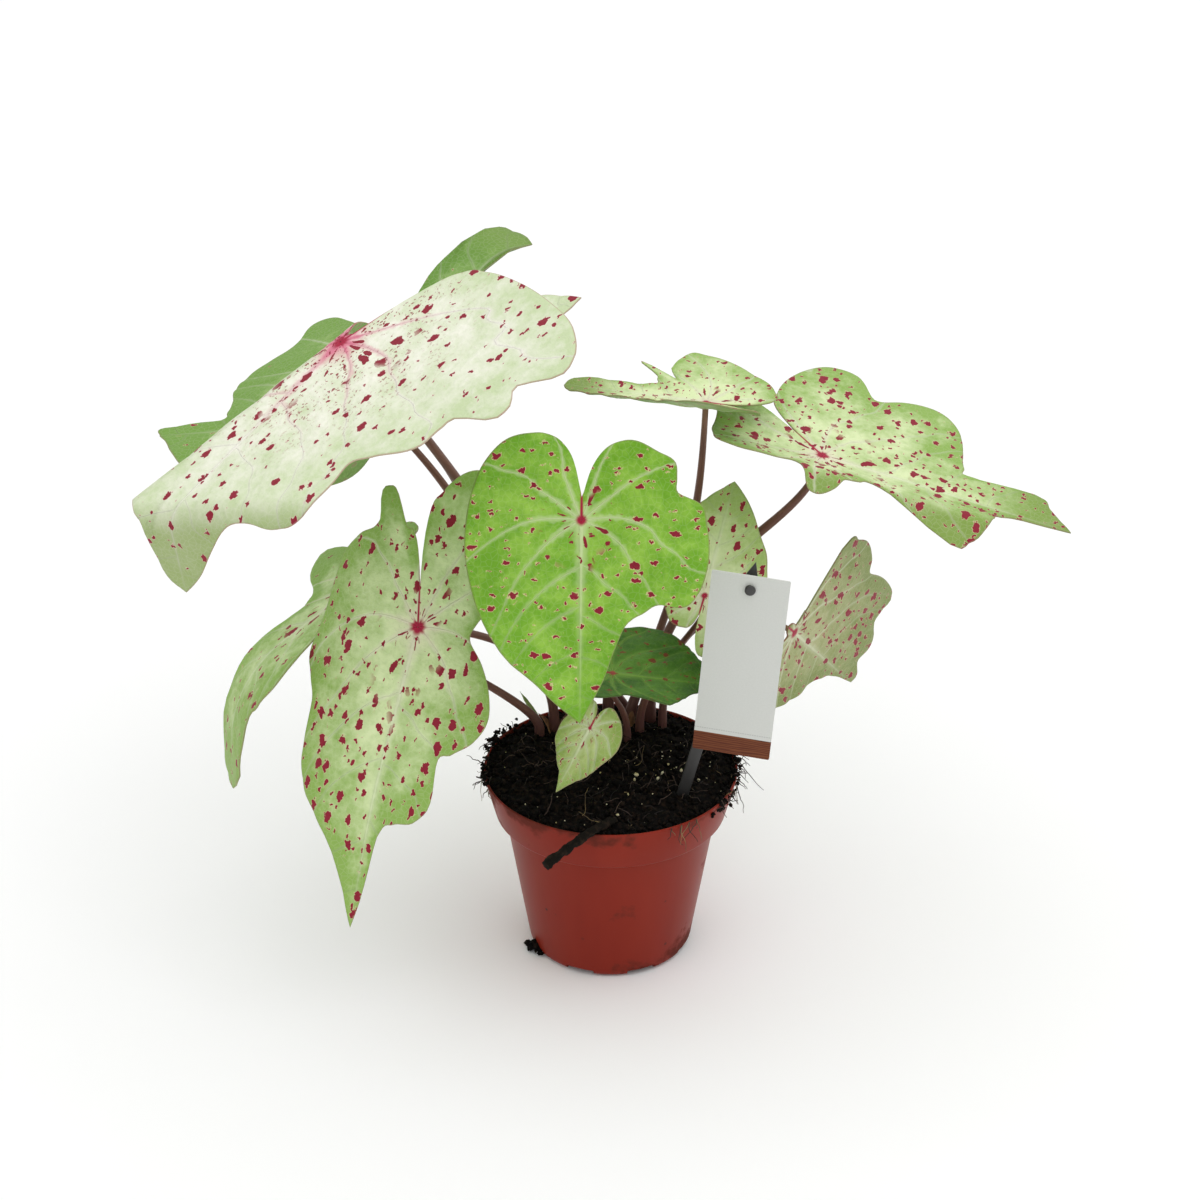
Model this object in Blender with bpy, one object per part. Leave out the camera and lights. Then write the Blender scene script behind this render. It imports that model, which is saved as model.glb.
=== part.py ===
"""A caladium in its 12 cm nursery pot: heart-shaped spotted leaves on thin petioles, growing
out of peat in a terracotta-coloured plastic pot, with a plain card on a plastic stake.

The origin is the middle of the pot's foot. +Z is up and -Y is the side that is seen most.
Sizes in the tables are millimetres and degrees; MM turns them to metres.
"""

import math
from collections import namedtuple

import bmesh
import bpy
import numpy as np
from mathutils import Vector

MM = 0.001
CLEARANCE = 0.3  # between pieces that touch

# Pot, a thin moulded shell with a tapered collar
POT_HEIGHT = 93.0
POT_MOUTH_RADIUS = 60.0
POT_COLLAR_HEIGHT = 21.0
POT_COLLAR_RADIUS = 54.6
POT_NECK_RADIUS = 50.0
POT_FOOT_RADIUS = 39.0
POT_WALL = 1.2
POT_FLOOR = 1.6
POT_FOOT_ROUND = 3.0
POT_SIDES = 48
DRAIN_COUNT = 8
DRAIN_WIDTH = 14.0
DRAIN_HEIGHT = 3.0
DRAIN_DEPTH = 7.0

# Peat, a plug that fills the pot and crowns a little above its mouth
PEAT_CROWN = 3.5
PEAT_EDGE_DROP = 1.6
PEAT_ROUGHNESS = 1.3
PEAT_RINGS = 7

# Blades and petioles
BLADE_THICKNESS = 0.7
INNER_RING = 0.07  # radius of the ring nearest the joint as a share of the margin's
PETIOLE_TOP = 0.62  # radius at the blade as a share of the radius at the foot
PETIOLE_DEPTH = 22.0  # how far a petiole goes down into the peat
PETIOLE_SIDES = 7
STRAIGHT_END = 3.0  # the petiole's last length, square to the blade

# Card on its stake: the card turns about the stud that goes through it
CARD_WIDTH = 35.5
CARD_HEIGHT = 92.0
CARD_THICKNESS = 0.7
CARD_MIDDLE = (58.4, -30.6, 164.8)
CARD_YAW = -10.7
CARD_LEAN = 4.5
CARD_HOLE_RADIUS = 2.1
STAKE_WIDTH = 5.5
STAKE_THICKNESS = 1.6
STAKE_FOOT = (33.5, -25.5, 95.0)  # where it leaves the peat
STAKE_LEAN = 14.4
STAKE_LENGTH = 123.5  # above the peat
STAKE_DEPTH = 45.0
STAKE_POINT = 7.0
STUD_DROP = 11.0  # below the stake's top, along it
STUD_RADIUS = 1.5
STUD_LENGTH = 7.4  # in front of the stake
STUD_HEAD_RADIUS = 2.5
STUD_HEAD_HEIGHT = 1.1
STUD_SIDES = 12

# A new shoot and a sliver of bark that lies over the rim: points of their middle line and radii
SHOOT_PATH = ((-34.5, 34.5, 84), (-34.5, 34.5, 98), (-38, 36, 104), (-43.5, 38.5, 112))
SHOOT_RADII = (1.5, 1.5, 1.2, 0.5)
SLIVER_PATH = ((2, -50, 95.6), (-7.5, -58.8, 95.7), (-19, -69, 92.8), (-29.5, -78.5, 89))
SLIVER_RADII = (1.5, 2.1, 1.9, 2.2)

# A blade's outline round its joint, one side at a time: angle from the tip to the sinus, and
# radius as a share of the tip's length
PLAIN = (
    (0, 1.0),
    (6, 0.92),
    (15, 0.83),
    (30, 0.74),
    (45, 0.68),
    (62, 0.63),
    (85, 0.585),
    (107, 0.565),
    (124, 0.56),
    (139, 0.54),
    (150, 0.50),
    (159, 0.45),
    (166, 0.37),
    (171, 0.26),
    (175.5, 0.155),
    (180, 0.115),
)

# A fold or curl of a blade. (x, y) is a point of the flat blade with x towards its tip and y
# towards its left; across is the direction in which the blade starts to turn, in degrees from the
# tip; turn is positive downwards.
Bend = namedtuple("Bend", "x y across radius turn")

# joint: where the petiole meets the blade. heading, pitch, roll: of the blade at its joint.
# breadth scales the blade sideways. sides: the outline's left and right. ruffle: height, number
# and phase of the margin's waves. root: where the petiole leaves the peat. reach: how strongly
# the petiole starts upwards and ends square to the blade. girth: the petiole's radius at its
# foot. mesh: spokes and rings of the blade. lean: how far the petiole's start leans along x and y
# for each millimetre that it rises.
Leaf = namedtuple(
    "Leaf",
    "name joint heading pitch roll length breadth sides bends ruffle root reach girth mesh look lean",
    defaults=((0, 0),),
)

# Outlines that differ from the plain one, each with its left and its right side
HEART = (
    (
        (0, 1.0), (3, 0.915), (8.5, 0.80), (12, 0.72), (17, 0.635), (22.5, 0.572), (28, 0.55),
        (34, 0.552), (43.5, 0.572), (50.5, 0.668), (59, 0.69), (69, 0.677), (89, 0.622), (97, 0.605),
        (106, 0.50), (113, 0.52), (121, 0.548), (131, 0.51), (152, 0.445), (163, 0.355), (169, 0.266),
        (175, 0.15), (180, 0.115),
    ),
    (
        (0, 1.0), (5, 0.94), (14, 0.847), (29, 0.778), (45, 0.70), (60, 0.635), (83, 0.585),
        (107, 0.56), (121, 0.557), (137, 0.542), (149, 0.496), (157, 0.462), (166, 0.393),
        (172.5, 0.285), (175.5, 0.19), (180, 0.115),
    ),
)
DROOPING = (
    (
        (0, 1.0), (1.6, 0.90), (2.8, 0.80), (4, 0.70), (5.8, 0.655), (10.5, 0.633), (20, 0.63),
        (27.5, 0.57), (31, 0.48), (40, 0.468), (51.5, 0.487), (63, 0.47), (69, 0.425), (79, 0.337),
        (89, 0.255), (103, 0.27), (120, 0.40), (140, 0.51), (160, 0.545), (172.5, 0.524),
        (186, 0.435), (194, 0.34), (196.5, 0.24), (198, 0.12),
    ),
    (
        (0, 1.0), (4.2, 0.887), (13, 0.765), (22, 0.72), (33, 0.687), (42, 0.632), (55, 0.54),
        (64, 0.56), (72, 0.59), (81, 0.535), (98, 0.508), (108, 0.515), (119, 0.48), (130, 0.43),
        (134, 0.44), (137.5, 0.51), (142.5, 0.512), (146.5, 0.47), (149, 0.37), (155, 0.32),
        (158, 0.27), (160, 0.20), (162, 0.12),
    ),
)
SPREADING = (
    (
        (0, 1.0), (4, 0.91), (8, 0.81), (16, 0.69), (22.5, 0.68), (29, 0.705), (39, 0.692),
        (47, 0.625), (51, 0.575), (59, 0.59), (70.5, 0.657), (77, 0.65), (81.5, 0.665), (85, 0.775),
        (89, 0.79), (94.5, 0.755), (98.5, 0.86), (103, 0.865), (110, 0.81), (120.5, 0.677),
        (131.5, 0.562), (143, 0.467), (151, 0.40), (155.5, 0.30), (158, 0.13),
    ),
    (
        (0, 1.0), (3.6, 0.93), (6.4, 0.80), (10.8, 0.757), (20, 0.72), (40, 0.62), (60, 0.56),
        (76, 0.60), (88, 0.61), (100, 0.53), (115, 0.45), (130, 0.34), (140, 0.22), (150, 0.12),
        (165, 0.05), (202, 0.04),
    ),
)
ARCHING = (
    (
        (0, 0.97), (7, 0.885), (12.5, 0.84), (14.2, 0.78), (15, 0.66), (17, 0.585), (23, 0.57),
        (36, 0.617), (47, 0.676), (59, 0.685), (68, 0.622), (77, 0.54), (88, 0.665), (96, 0.685),
        (113, 0.56), (126, 0.42), (134, 0.33), (140, 0.13),
    ),
    (
        (0, 0.97), (1.5, 0.80), (4, 0.71), (9, 0.69), (16, 0.69), (24, 0.68), (30, 0.62),
        (33, 0.42), (37, 0.30), (48, 0.25), (61, 0.235), (72, 0.28), (84, 0.31), (91, 0.30),
        (99, 0.24), (112, 0.20), (125, 0.21), (135, 0.29), (143, 0.38), (149, 0.42), (165, 0.43),
        (186, 0.43), (198, 0.46), (211, 0.475), (216, 0.44), (218.5, 0.30), (220, 0.13),
    ),
)

BEHIND = (
    (
        (0, 1.0), (4, 0.96), (10, 0.93), (22, 0.88), (35, 0.80), (50, 0.68), (65, 0.54),
        (85, 0.45), (107, 0.40), (130, 0.38), (150, 0.35), (166, 0.28), (175, 0.18), (180, 0.115),
    ),
    (
        (0, 1.0), (4, 0.99), (6, 0.86), (8, 0.74), (14, 0.70), (22, 0.72), (29, 0.78), (40, 0.80),
        (49, 0.76), (63, 0.77), (70, 0.86), (79, 0.80), (85, 0.68), (100, 0.50), (110, 0.50),
        (122, 0.58), (150, 0.46), (166, 0.34), (175, 0.18), (180, 0.115),
    ),
)
ARCHED_BACK = (
    (
        (0, 1.0), (4, 1.02), (10, 1.025), (15, 0.985), (17.5, 0.87), (19, 0.75), (21, 0.71),
        (24, 0.66), (26, 0.605), (28, 0.53), (31, 0.43), (38, 0.34), (50, 0.29), (80, 0.26),
        (120, 0.25), (150, 0.24), (166, 0.20), (175, 0.15), (180, 0.115),
    ),
    (
        (0, 1.0), (0.9, 0.87), (1.5, 0.73), (3, 0.67), (12, 0.625), (22.5, 0.555), (30, 0.44),
        (36, 0.34), (50, 0.22), (80, 0.17), (120, 0.16), (150, 0.16), (166, 0.15), (175, 0.13),
        (180, 0.115),
    ),
)
PEEPING = (
    (0, 1.0), (2.4, 0.965), (5.6, 0.92), (10.5, 0.86), (14.5, 0.80), (17, 0.69), (21, 0.55),
    (28, 0.42), (40, 0.32), (60, 0.24), (90, 0.16), (120, 0.10), (150, 0.08), (180, 0.07),
)
LEVEL = (
    (
        (0, 1.0), (5, 0.97), (12, 0.84), (22, 0.68), (34, 0.50), (48, 0.42), (66, 0.45), (85, 0.50),
        (107, 0.52), (130, 0.54), (150, 0.48), (166, 0.36), (175, 0.18), (180, 0.115),
    ),
    (
        (0, 1.0), (4, 0.98), (8, 0.90), (12, 0.62), (20, 0.44), (30, 0.45), (35.5, 0.55), (37.5, 0.71),
        (39.5, 0.62), (41, 0.47), (50, 0.50), (60, 0.585), (71, 0.66), (79, 0.615), (87, 0.585),
        (100, 0.54), (114, 0.507), (150, 0.50), (162, 0.486), (171, 0.372), (176, 0.22),
        (180, 0.115),
    ),
)
UPRIGHT = (
    (
        (0, 1.0), (6, 0.93), (16, 0.84), (30, 0.74), (45, 0.66), (62, 0.58), (80, 0.48), (100, 0.38),
        (114, 0.35), (140, 0.343), (155, 0.312), (170, 0.25), (178, 0.14),
    ),
    (
        (0, 1.0), (6, 0.92), (13.6, 0.83), (29.6, 0.68), (51, 0.60), (63, 0.56), (90, 0.56),
        (120, 0.58), (145, 0.57), (165, 0.53), (176, 0.42), (180, 0.28), (182, 0.14),
    ),
)
TURNED = (
    (
        (0, 1.0), (2, 1.01), (6, 0.93), (11, 0.97), (16, 0.94), (21, 0.87), (24.5, 0.93), (28, 0.96),
        (32.7, 0.89), (40, 0.745), (45, 0.645), (57, 0.61), (70, 0.585), (82, 0.53), (94, 0.47),
        (97, 0.39), (99, 0.16), (105, 0.12), (180, 0.1),
    ),
    (
        (0, 1.0), (1, 0.85), (3.3, 0.71), (8, 0.60), (25, 0.506), (53, 0.435), (80, 0.42),
        (110, 0.25), (128, 0.11), (180, 0.1),
    ),
)
DARK = (
    (
        (0, 1.0), (6, 0.92), (19, 0.80), (34, 0.765), (50, 0.74), (60, 0.70), (70, 0.65), (78, 0.59),
        (100, 0.55), (124, 0.55), (150, 0.49), (166, 0.36), (175, 0.18), (180, 0.115),
    ),
    (
        (0, 1.0), (3, 0.86), (8, 0.76), (18, 0.68), (30, 0.65), (42, 0.62), (51, 0.48), (59, 0.42),
        (73, 0.35), (90, 0.40), (103, 0.46), (130, 0.47), (150, 0.44), (166, 0.33), (175, 0.18),
        (180, 0.115),
    ),
)
YOUNG = (
    (
        (0, 1.0), (6, 0.90), (15, 0.80), (27, 0.74), (45, 0.66), (65, 0.64), (82, 0.66), (98, 0.62),
        (112, 0.56), (127, 0.50), (152, 0.43), (165, 0.36), (174, 0.25), (180, 0.14),
    ),
    (
        (0, 1.0), (4, 0.86), (8, 0.77), (20, 0.68), (36, 0.61), (57, 0.59), (76, 0.54), (92, 0.48),
        (108, 0.44), (130, 0.43), (150, 0.42), (165, 0.34), (173, 0.24), (180, 0.14),
    ),
)

FOLDED = (
    (
        (0, 1.0), (6, 0.97), (15, 0.93), (22, 0.86), (25, 0.79), (28, 0.71), (34, 0.68), (41, 0.64),
        (46, 0.57), (49, 0.44), (52, 0.33), (60, 0.22), (80, 0.20), (110, 0.22), (140, 0.22),
        (165, 0.20), (175, 0.17), (180, 0.115),
    ),
    (
        (0, 1.0), (5, 0.99), (11, 0.97), (15, 0.90), (19, 0.76), (24, 0.65), (30, 0.54), (35, 0.46),
        (38, 0.38), (44, 0.33), (58, 0.31), (68, 0.34), (74, 0.42), (80, 0.58), (85, 0.69),
        (90, 0.76), (95, 0.68), (100, 0.56), (120, 0.50), (150, 0.42), (165, 0.34), (175, 0.18),
        (180, 0.115),
    ),
)

LARGE = (40, 6)
SMALL = (26, 5)

# Colours as red, green, blue between 0 and 1, then roughness
PALE = ("leaf_pale", (0.63, 0.72, 0.48), 0.5)
SPOTTED = ("leaf_spotted", (0.42, 0.55, 0.22), 0.5)
GREEN = ("leaf_green", (0.18, 0.42, 0.05), 0.45)
SHADED = ("leaf_shaded", (0.08, 0.17, 0.03), 0.5)
STALK = ("leaf_stalk", (0.12, 0.06, 0.05), 0.5)
SHOOT = ("leaf_shoot", (0.22, 0.35, 0.12), 0.5)
POT_PLASTIC = ("pot_plastic", (0.19, 0.035, 0.022), 0.45)
PEAT = ("peat", (0.012, 0.010, 0.008), 0.95)
CARD = ("card", (0.72, 0.72, 0.70), 0.7)
STAKE_PLASTIC = ("stake_plastic", (0.015, 0.015, 0.016), 0.4)
BARK = ("bark", (0.018, 0.015, 0.012), 0.85)

LEAVES = (
    Leaf(
        "leaf_heart", (-13, -45, 245), -91, -62, 0, 88, 1.0, HEART,
        (Bend(0, 0, 90, 60, -12), Bend(0, 0, -90, 60, -12)),
        (1.5, 7, 0), (-1, 45), (100, 40), 2.6, LARGE, GREEN,
    ),
    Leaf(
        "leaf_front_left", (-86, -35, 187), -121, -60, -12, 142, 0.7, DROOPING,
        (Bend(0, 12, 90, 60, 40), Bend(0, -12, -90, 60, 40), Bend(60, 0, 0, 160, 15)),
        (0, 7, 0), (-27, 33), (50, 40), 2.4, LARGE, SPOTTED,
    ),
    Leaf(
        "leaf_left_narrow", (-120.5, 15, 179.1), -158, -31, 8, 118.5, 0.6, FOLDED,
        (Bend(38, 0, 0, 60, 56),),
        (0, 6, 0), (-34, 28), (15, 30), 2.2, SMALL, SPOTTED,
    ),
    Leaf(
        "leaf_upper_left", (-115, -30, 322), -137, -28.4, 6.3, 150, 1.0, SPREADING,
        (Bend(106, -21, 21.5, 10, 85), Bend(0, -1, -101.5, 12, 75)),
        (0, 6, 0), (-9, 45), (138, 14), 3.0, LARGE, PALE, (-0.46, 0.13),
    ),
    Leaf(
        "leaf_back_left", (-125.4, 64, 262.9), 174, -26, -6, 94, 1.0, BEHIND,
        (Bend(60, 0, 0, 30, -20),),
        (0, 6, 0), (-19, 40), (148, 15), 2.4, LARGE, SPOTTED, (-0.43, 0.21),
    ),
    Leaf(
        "leaf_back_top", (-106.8, 83.8, 254), 36, 38, 10, 104.5, 0.8, ARCHED_BACK,
        (Bend(70, 0, 0, 30, 45),),
        (0, 5, 0), (-13, 50), (104, 31), 2.2, SMALL, SPOTTED, (-0.60, 0.45),
    ),
    Leaf(
        "leaf_back_small", (-95, 45, 277), 5.3, 21.4, 10, 88, 0.8, (PEEPING, PEEPING),
        (),
        (0, 5, 0), (7, 51), (165, 33), 1.8, SMALL, PALE, (-0.79, 0.26),
    ),
    Leaf(
        "leaf_right", (96.8, 35, 238.5), -13, -13, 4, 122, 1.0, ARCHING,
        (Bend(41, -19, -85, 10, 45), Bend(0, 0, -90, 30, -17)),
        (0, 6, 0), (19, 43), (80, 40), 2.8, LARGE, SPOTTED,
    ),
    Leaf(
        "leaf_upper_middle", (43.5, 47, 259.7), 167, 2, 0, 67, 1.0, LEVEL,
        (Bend(0, 0, 90, 30, -31), Bend(0, 0, -90, 30, -8)),
        (0, 6, 0), (10, 46), (76, 56), 2.4, LARGE, SPOTTED, (0.39, 0.38),
    ),
    Leaf(
        "leaf_behind_tag", (42.9, 5, 181.6), 73, 34, -3, 62, 0.85, UPRIGHT,
        (),
        (0, 5, 0), (14, 30), (30, 20), 2.0, SMALL, SPOTTED,
    ),
    Leaf(
        "leaf_low_right", (86, 20, 154), 65, -40, 107, 108, 0.95, TURNED,
        (),
        (0, 6, 0), (25, 34), (70, 20), 2.0, LARGE, SPOTTED,
    ),
    Leaf(
        "leaf_dark", (0.9, -8, 148.3), 0, -8, 14, 55, 1.0, DARK,
        (Bend(0, 0, -90, 30, -17),),
        (0, 5, 0), (8, 20), (20, 15), 1.8, SMALL, SHADED,
    ),
    Leaf(
        "leaf_small_front", (-9.5, -50, 143.7), -135, -48, -15, 32.5, 0.8, YOUNG,
        (),
        (0, 5, 0), (-5, -2), (20, 14), 1.4, SMALL, SPOTTED,
    ),
)


def interpolated(table, angle):
    """A smooth curve through the table's points."""
    knots = np.array([row[0] for row in table], float)
    values = np.array([row[1] for row in table], float)
    slopes = np.gradient(values, knots)
    i = np.clip(np.searchsorted(knots, angle, side="right") - 1, 0, len(knots) - 2)
    step = knots[i + 1] - knots[i]
    t = (angle - knots[i]) / step
    return (
        (1 + 2 * t) * (1 - t) ** 2 * values[i]
        + t * (1 - t) ** 2 * step * slopes[i]
        + t * t * (3 - 2 * t) * values[i + 1]
        + t * t * (t - 1) * step * slopes[i + 1]
    )


def margin(leaf, angle):
    """Flat (x, y) of the blade's margin at angles from the tip, positive on the left."""
    left, right = leaf.sides
    share = np.where(angle >= 0, interpolated(left, angle), interpolated(right, -angle))
    a = np.radians(angle)
    return leaf.length * share * np.cos(a), leaf.length * share * np.sin(a) * leaf.breadth


def bent(points, bend):
    """Points wrapped round a cylinder that starts at the bend's line."""
    a = math.radians(bend.across)
    way = np.array([math.cos(a), math.sin(a), 0])
    down = 1 if bend.turn > 0 else -1
    turn = math.radians(abs(bend.turn))
    reach = (points - np.array([bend.x, bend.y, 0])) @ way
    height = points[:, 2] * down
    angle = np.clip(reach / bend.radius, 0, turn)
    beyond = np.maximum(reach - bend.radius * turn, 0)
    before = np.minimum(reach, 0)
    arm = bend.radius + height
    new_reach = before + arm * np.sin(angle) + beyond * np.cos(angle)
    new_height = arm * np.cos(angle) - bend.radius - beyond * np.sin(angle)
    made = points + np.outer(new_reach - reach, way)
    made[:, 2] = new_height * down
    return made


def heading_frame(heading, pitch, roll):
    """Rows: towards the tip, towards the left, and out of the upper face."""
    h, p, r = (math.radians(v) for v in (heading, pitch, roll))
    tip = np.array([math.cos(p) * math.cos(h), math.cos(p) * math.sin(h), math.sin(p)])
    left = np.array([-math.sin(h), math.cos(h), 0])
    face = np.cross(tip, left)
    aside = math.cos(r) * left + math.sin(r) * face
    return np.array([tip, aside, math.cos(r) * face - math.sin(r) * left])


def blade_surface(leaf, x, y):
    """The upper face over flat points (x, y), in millimetres."""
    height, waves, phase = leaf.ruffle
    far = np.hypot(x, y) / (0.6 * leaf.length)
    around = np.arctan2(y, x)
    z = height * far**2 * np.sin(waves * around + math.radians(phase))
    points = np.stack([x, y, z], -1)
    for bend in leaf.bends:
        points = bent(points, bend)
    return np.array(leaf.joint) + points @ heading_frame(leaf.heading, leaf.pitch, leaf.roll)


def blade_faces(leaf, x, y):
    """Upper face points and their unit normals."""
    step = 0.05
    here = blade_surface(leaf, x, y)
    along = blade_surface(leaf, x + step, y) - blade_surface(leaf, x - step, y)
    aside = blade_surface(leaf, x, y + step) - blade_surface(leaf, x, y - step)
    normal = np.cross(along, aside)
    return here, normal / np.linalg.norm(normal, axis=1)[:, None]


def spoke_angles(leaf, count):
    """Angles from the tip, closer together at the tip and round the lobes' inner margins."""
    half = count // 2
    knots = np.array([0, 0.06, 0.16, 0.5, 0.74, 0.86, 1.0])
    places = np.array([0, 4, 14, 75, 130, 158, 180.0]) / 180
    side = np.interp(np.arange(1, half) / half, knots, places)
    left, right = (table[-1][0] for table in leaf.sides)
    return np.concatenate([[0], side * left, [left], -side[::-1] * right])


def blade_grid(leaf):
    """Flat points of the joint and of each ring, and the triangles of one face."""
    spokes, rings = leaf.mesh
    mx, my = margin(leaf, spoke_angles(leaf, spokes))
    shares = np.linspace(INNER_RING, 1, rings)
    x = np.concatenate([[0], np.outer(shares, mx).ravel()])
    y = np.concatenate([[0], np.outer(shares, my).ravel()])
    faces = []
    for i in range(spokes):
        j = (i + 1) % spokes
        faces.append((0, 1 + i, 1 + j))
        for ring in range(rings - 1):
            a, b = 1 + ring * spokes + i, 1 + ring * spokes + j
            c, d = a + spokes, b + spokes
            faces += [(a, c, d), (a, d, b)]
    return x, y, faces


def petiole_path(leaf):
    """Middle line of the petiole from inside the peat to the blade's underside."""
    rise, square = leaf.reach
    face = heading_frame(leaf.heading, leaf.pitch, leaf.roll)[2]
    foot = np.array([leaf.root[0], leaf.root[1], POT_HEIGHT + PEAT_CROWN + PEAT_ROUGHNESS])
    top = np.array(leaf.joint) - (BLADE_THICKNESS + 1.5 * CLEARANCE) * face
    t = np.linspace(0, 1, 13)[:, None]
    end = top - STRAIGHT_END * face
    points = foot, foot + rise * np.array([*leaf.lean, 1]), end - square * face, end
    weights = (1 - t) ** 3, 3 * t * (1 - t) ** 2, 3 * t**2 * (1 - t), t**3
    path = sum(w * p for w, p in zip(weights, points))
    return np.concatenate([[foot - (0, 0, PETIOLE_DEPTH)], path, [top]])


def add_object(name, points, faces, look):
    """A mesh object from millimetre points, with its faces turned outwards."""
    mesh = bpy.data.meshes.new(name)
    mesh.from_pydata([Vector(p) * MM for p in points], [], faces)
    clean = bmesh.new()
    clean.from_mesh(mesh)
    bmesh.ops.recalc_face_normals(clean, faces=clean.faces[:])
    clean.to_mesh(mesh)
    clean.free()
    mesh.materials.append(material(look))
    made = bpy.data.objects.new(name, mesh)
    bpy.context.collection.objects.link(made)
    return made


def material(look):
    """The Principled material of a look, made the first time that it is asked for."""
    name, colour, roughness = look
    found = bpy.data.materials.get(name)
    if found is None:
        found = bpy.data.materials.new(name)
        found.use_nodes = True
        shader = found.node_tree.nodes["Principled BSDF"]
        shader.inputs["Base Color"].default_value = (*colour, 1)
        shader.inputs["Roughness"].default_value = roughness
    return found


def boolean(made, other, operation):
    """Joins other to the object or cuts it out of it, and removes other."""
    change = made.modifiers.new("shape", "BOOLEAN")
    change.operation = operation
    change.solver = "EXACT"
    change.object = other
    graph = bpy.context.evaluated_depsgraph_get()
    shaped = bpy.data.meshes.new_from_object(made.evaluated_get(graph))
    made.modifiers.clear()
    made.data = shaped
    bpy.data.objects.remove(other, do_unlink=True)


def add_blade(leaf):
    """A blade of even thickness, its underside split into the same triangles as its face."""
    x, y, faces = blade_grid(leaf)
    top, normals = blade_faces(leaf, x, y)
    count = len(top)
    points = np.concatenate([top, top - BLADE_THICKNESS * normals])
    spokes = leaf.mesh[0]
    rim = range(count - spokes, count)
    under = [(a + count, c + count, b + count) for a, b, c in faces]
    edge = []
    for i, a in enumerate(rim):
        b = rim[(i + 1) % spokes]
        edge += [(a, a + count, b + count), (a, b + count, b)]
    return add_object(leaf.name, points, faces + under + edge, leaf.look)


def tube(path, radii, sides):
    """Points and faces of a tube with flat ends along a path."""
    tangents = np.gradient(path, axis=0)
    tangents[-2] = tangents[-1]
    tangents /= np.linalg.norm(tangents, axis=1)[:, None]
    side = np.array([1.0, 0.0, 0.0])
    angles = np.arange(sides) * 2 * math.pi / sides
    points = []
    for centre, tangent, radius in zip(path, tangents, radii):
        side = side - (side @ tangent) * tangent
        side /= np.linalg.norm(side)
        other = np.cross(tangent, side)
        for a in angles:
            points.append(centre + radius * (math.cos(a) * side + math.sin(a) * other))
    faces = [tuple(range(sides)), tuple(range(len(points) - sides, len(points)))]
    for ring in range(len(path) - 1):
        for i in range(sides):
            a, b = ring * sides + i, ring * sides + (i + 1) % sides
            faces += [(a, b, b + sides), (a, b + sides, a + sides)]
    return points, faces


def add_petiole(leaf):
    path = petiole_path(leaf)
    share = np.concatenate([[0], np.linspace(0, 1, len(path) - 1)])
    radii = leaf.girth * (1 + (PETIOLE_TOP - 1) * share)
    points, faces = tube(path, radii, PETIOLE_SIDES)
    return add_object(leaf.name.replace("leaf", "petiole"), points, faces, STALK)


def lathe(name, profile, sides, look):
    """A closed solid of revolution; the profile starts and ends on the axis."""
    points = [(0, 0, profile[0][1])]
    for radius, z in profile[1:-1]:
        for i in range(sides):
            a = i * 2 * math.pi / sides
            points.append((radius * math.cos(a), radius * math.sin(a), z))
    points.append((0, 0, profile[-1][1]))
    last = len(points) - 1
    faces = []
    for i in range(sides):
        j = (i + 1) % sides
        faces.append((0, 1 + i, 1 + j))
        faces.append((last, last - sides + i, last - sides + j))
        for ring in range(len(profile) - 3):
            a, b = 1 + ring * sides + i, 1 + ring * sides + j
            faces.append((a, b, b + sides, a + sides))
    return add_object(name, points, faces, look)


def add_box(name, size, centre, turn, look):
    """A box turned about the vertical through its centre."""
    c, s = math.cos(turn), math.sin(turn)
    points = []
    for x in (-size[0] / 2, size[0] / 2):
        for y in (-size[1] / 2, size[1] / 2):
            for z in (-size[2] / 2, size[2] / 2):
                points.append((centre[0] + x * c - y * s, centre[1] + x * s + y * c, centre[2] + z))
    faces = [(0, 1, 3, 2), (4, 6, 7, 5), (0, 4, 5, 1), (2, 3, 7, 6), (0, 2, 6, 4), (1, 5, 7, 3)]
    return add_object(name, points, faces, look)


def add_pot():
    neck = POT_HEIGHT - POT_COLLAR_HEIGHT - 2.2
    wall = POT_WALL
    profile = (
        (0, 0),
        (POT_FOOT_RADIUS - POT_FOOT_ROUND, 0),
        (POT_FOOT_RADIUS - 0.9, 0.9),
        (POT_FOOT_RADIUS, POT_FOOT_ROUND),
        (POT_NECK_RADIUS, neck),
        (POT_COLLAR_RADIUS, POT_HEIGHT - POT_COLLAR_HEIGHT),
        (POT_MOUTH_RADIUS, POT_HEIGHT),
        (POT_MOUTH_RADIUS - wall, POT_HEIGHT),
        (POT_COLLAR_RADIUS - wall, POT_HEIGHT - POT_COLLAR_HEIGHT + 0.6),
        (POT_NECK_RADIUS - wall, neck + 0.6),
        (POT_FOOT_RADIUS - wall, POT_FOOT_ROUND + POT_FLOOR),
        (POT_FOOT_RADIUS - POT_FOOT_ROUND - 0.4, POT_FLOOR),
        (0, POT_FLOOR),
    )
    pot = lathe("pot", profile, POT_SIDES, POT_PLASTIC)
    for i in range(DRAIN_COUNT):
        turn = (i + 0.5) * 2 * math.pi / DRAIN_COUNT
        reach = POT_FOOT_RADIUS + 1 - DRAIN_DEPTH / 2
        centre = (reach * math.cos(turn), reach * math.sin(turn), DRAIN_HEIGHT / 2 - 1)
        size = (DRAIN_DEPTH, DRAIN_WIDTH, DRAIN_HEIGHT + 2)
        boolean(pot, add_box("drain", size, centre, turn, POT_PLASTIC), "DIFFERENCE")
    return pot


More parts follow.
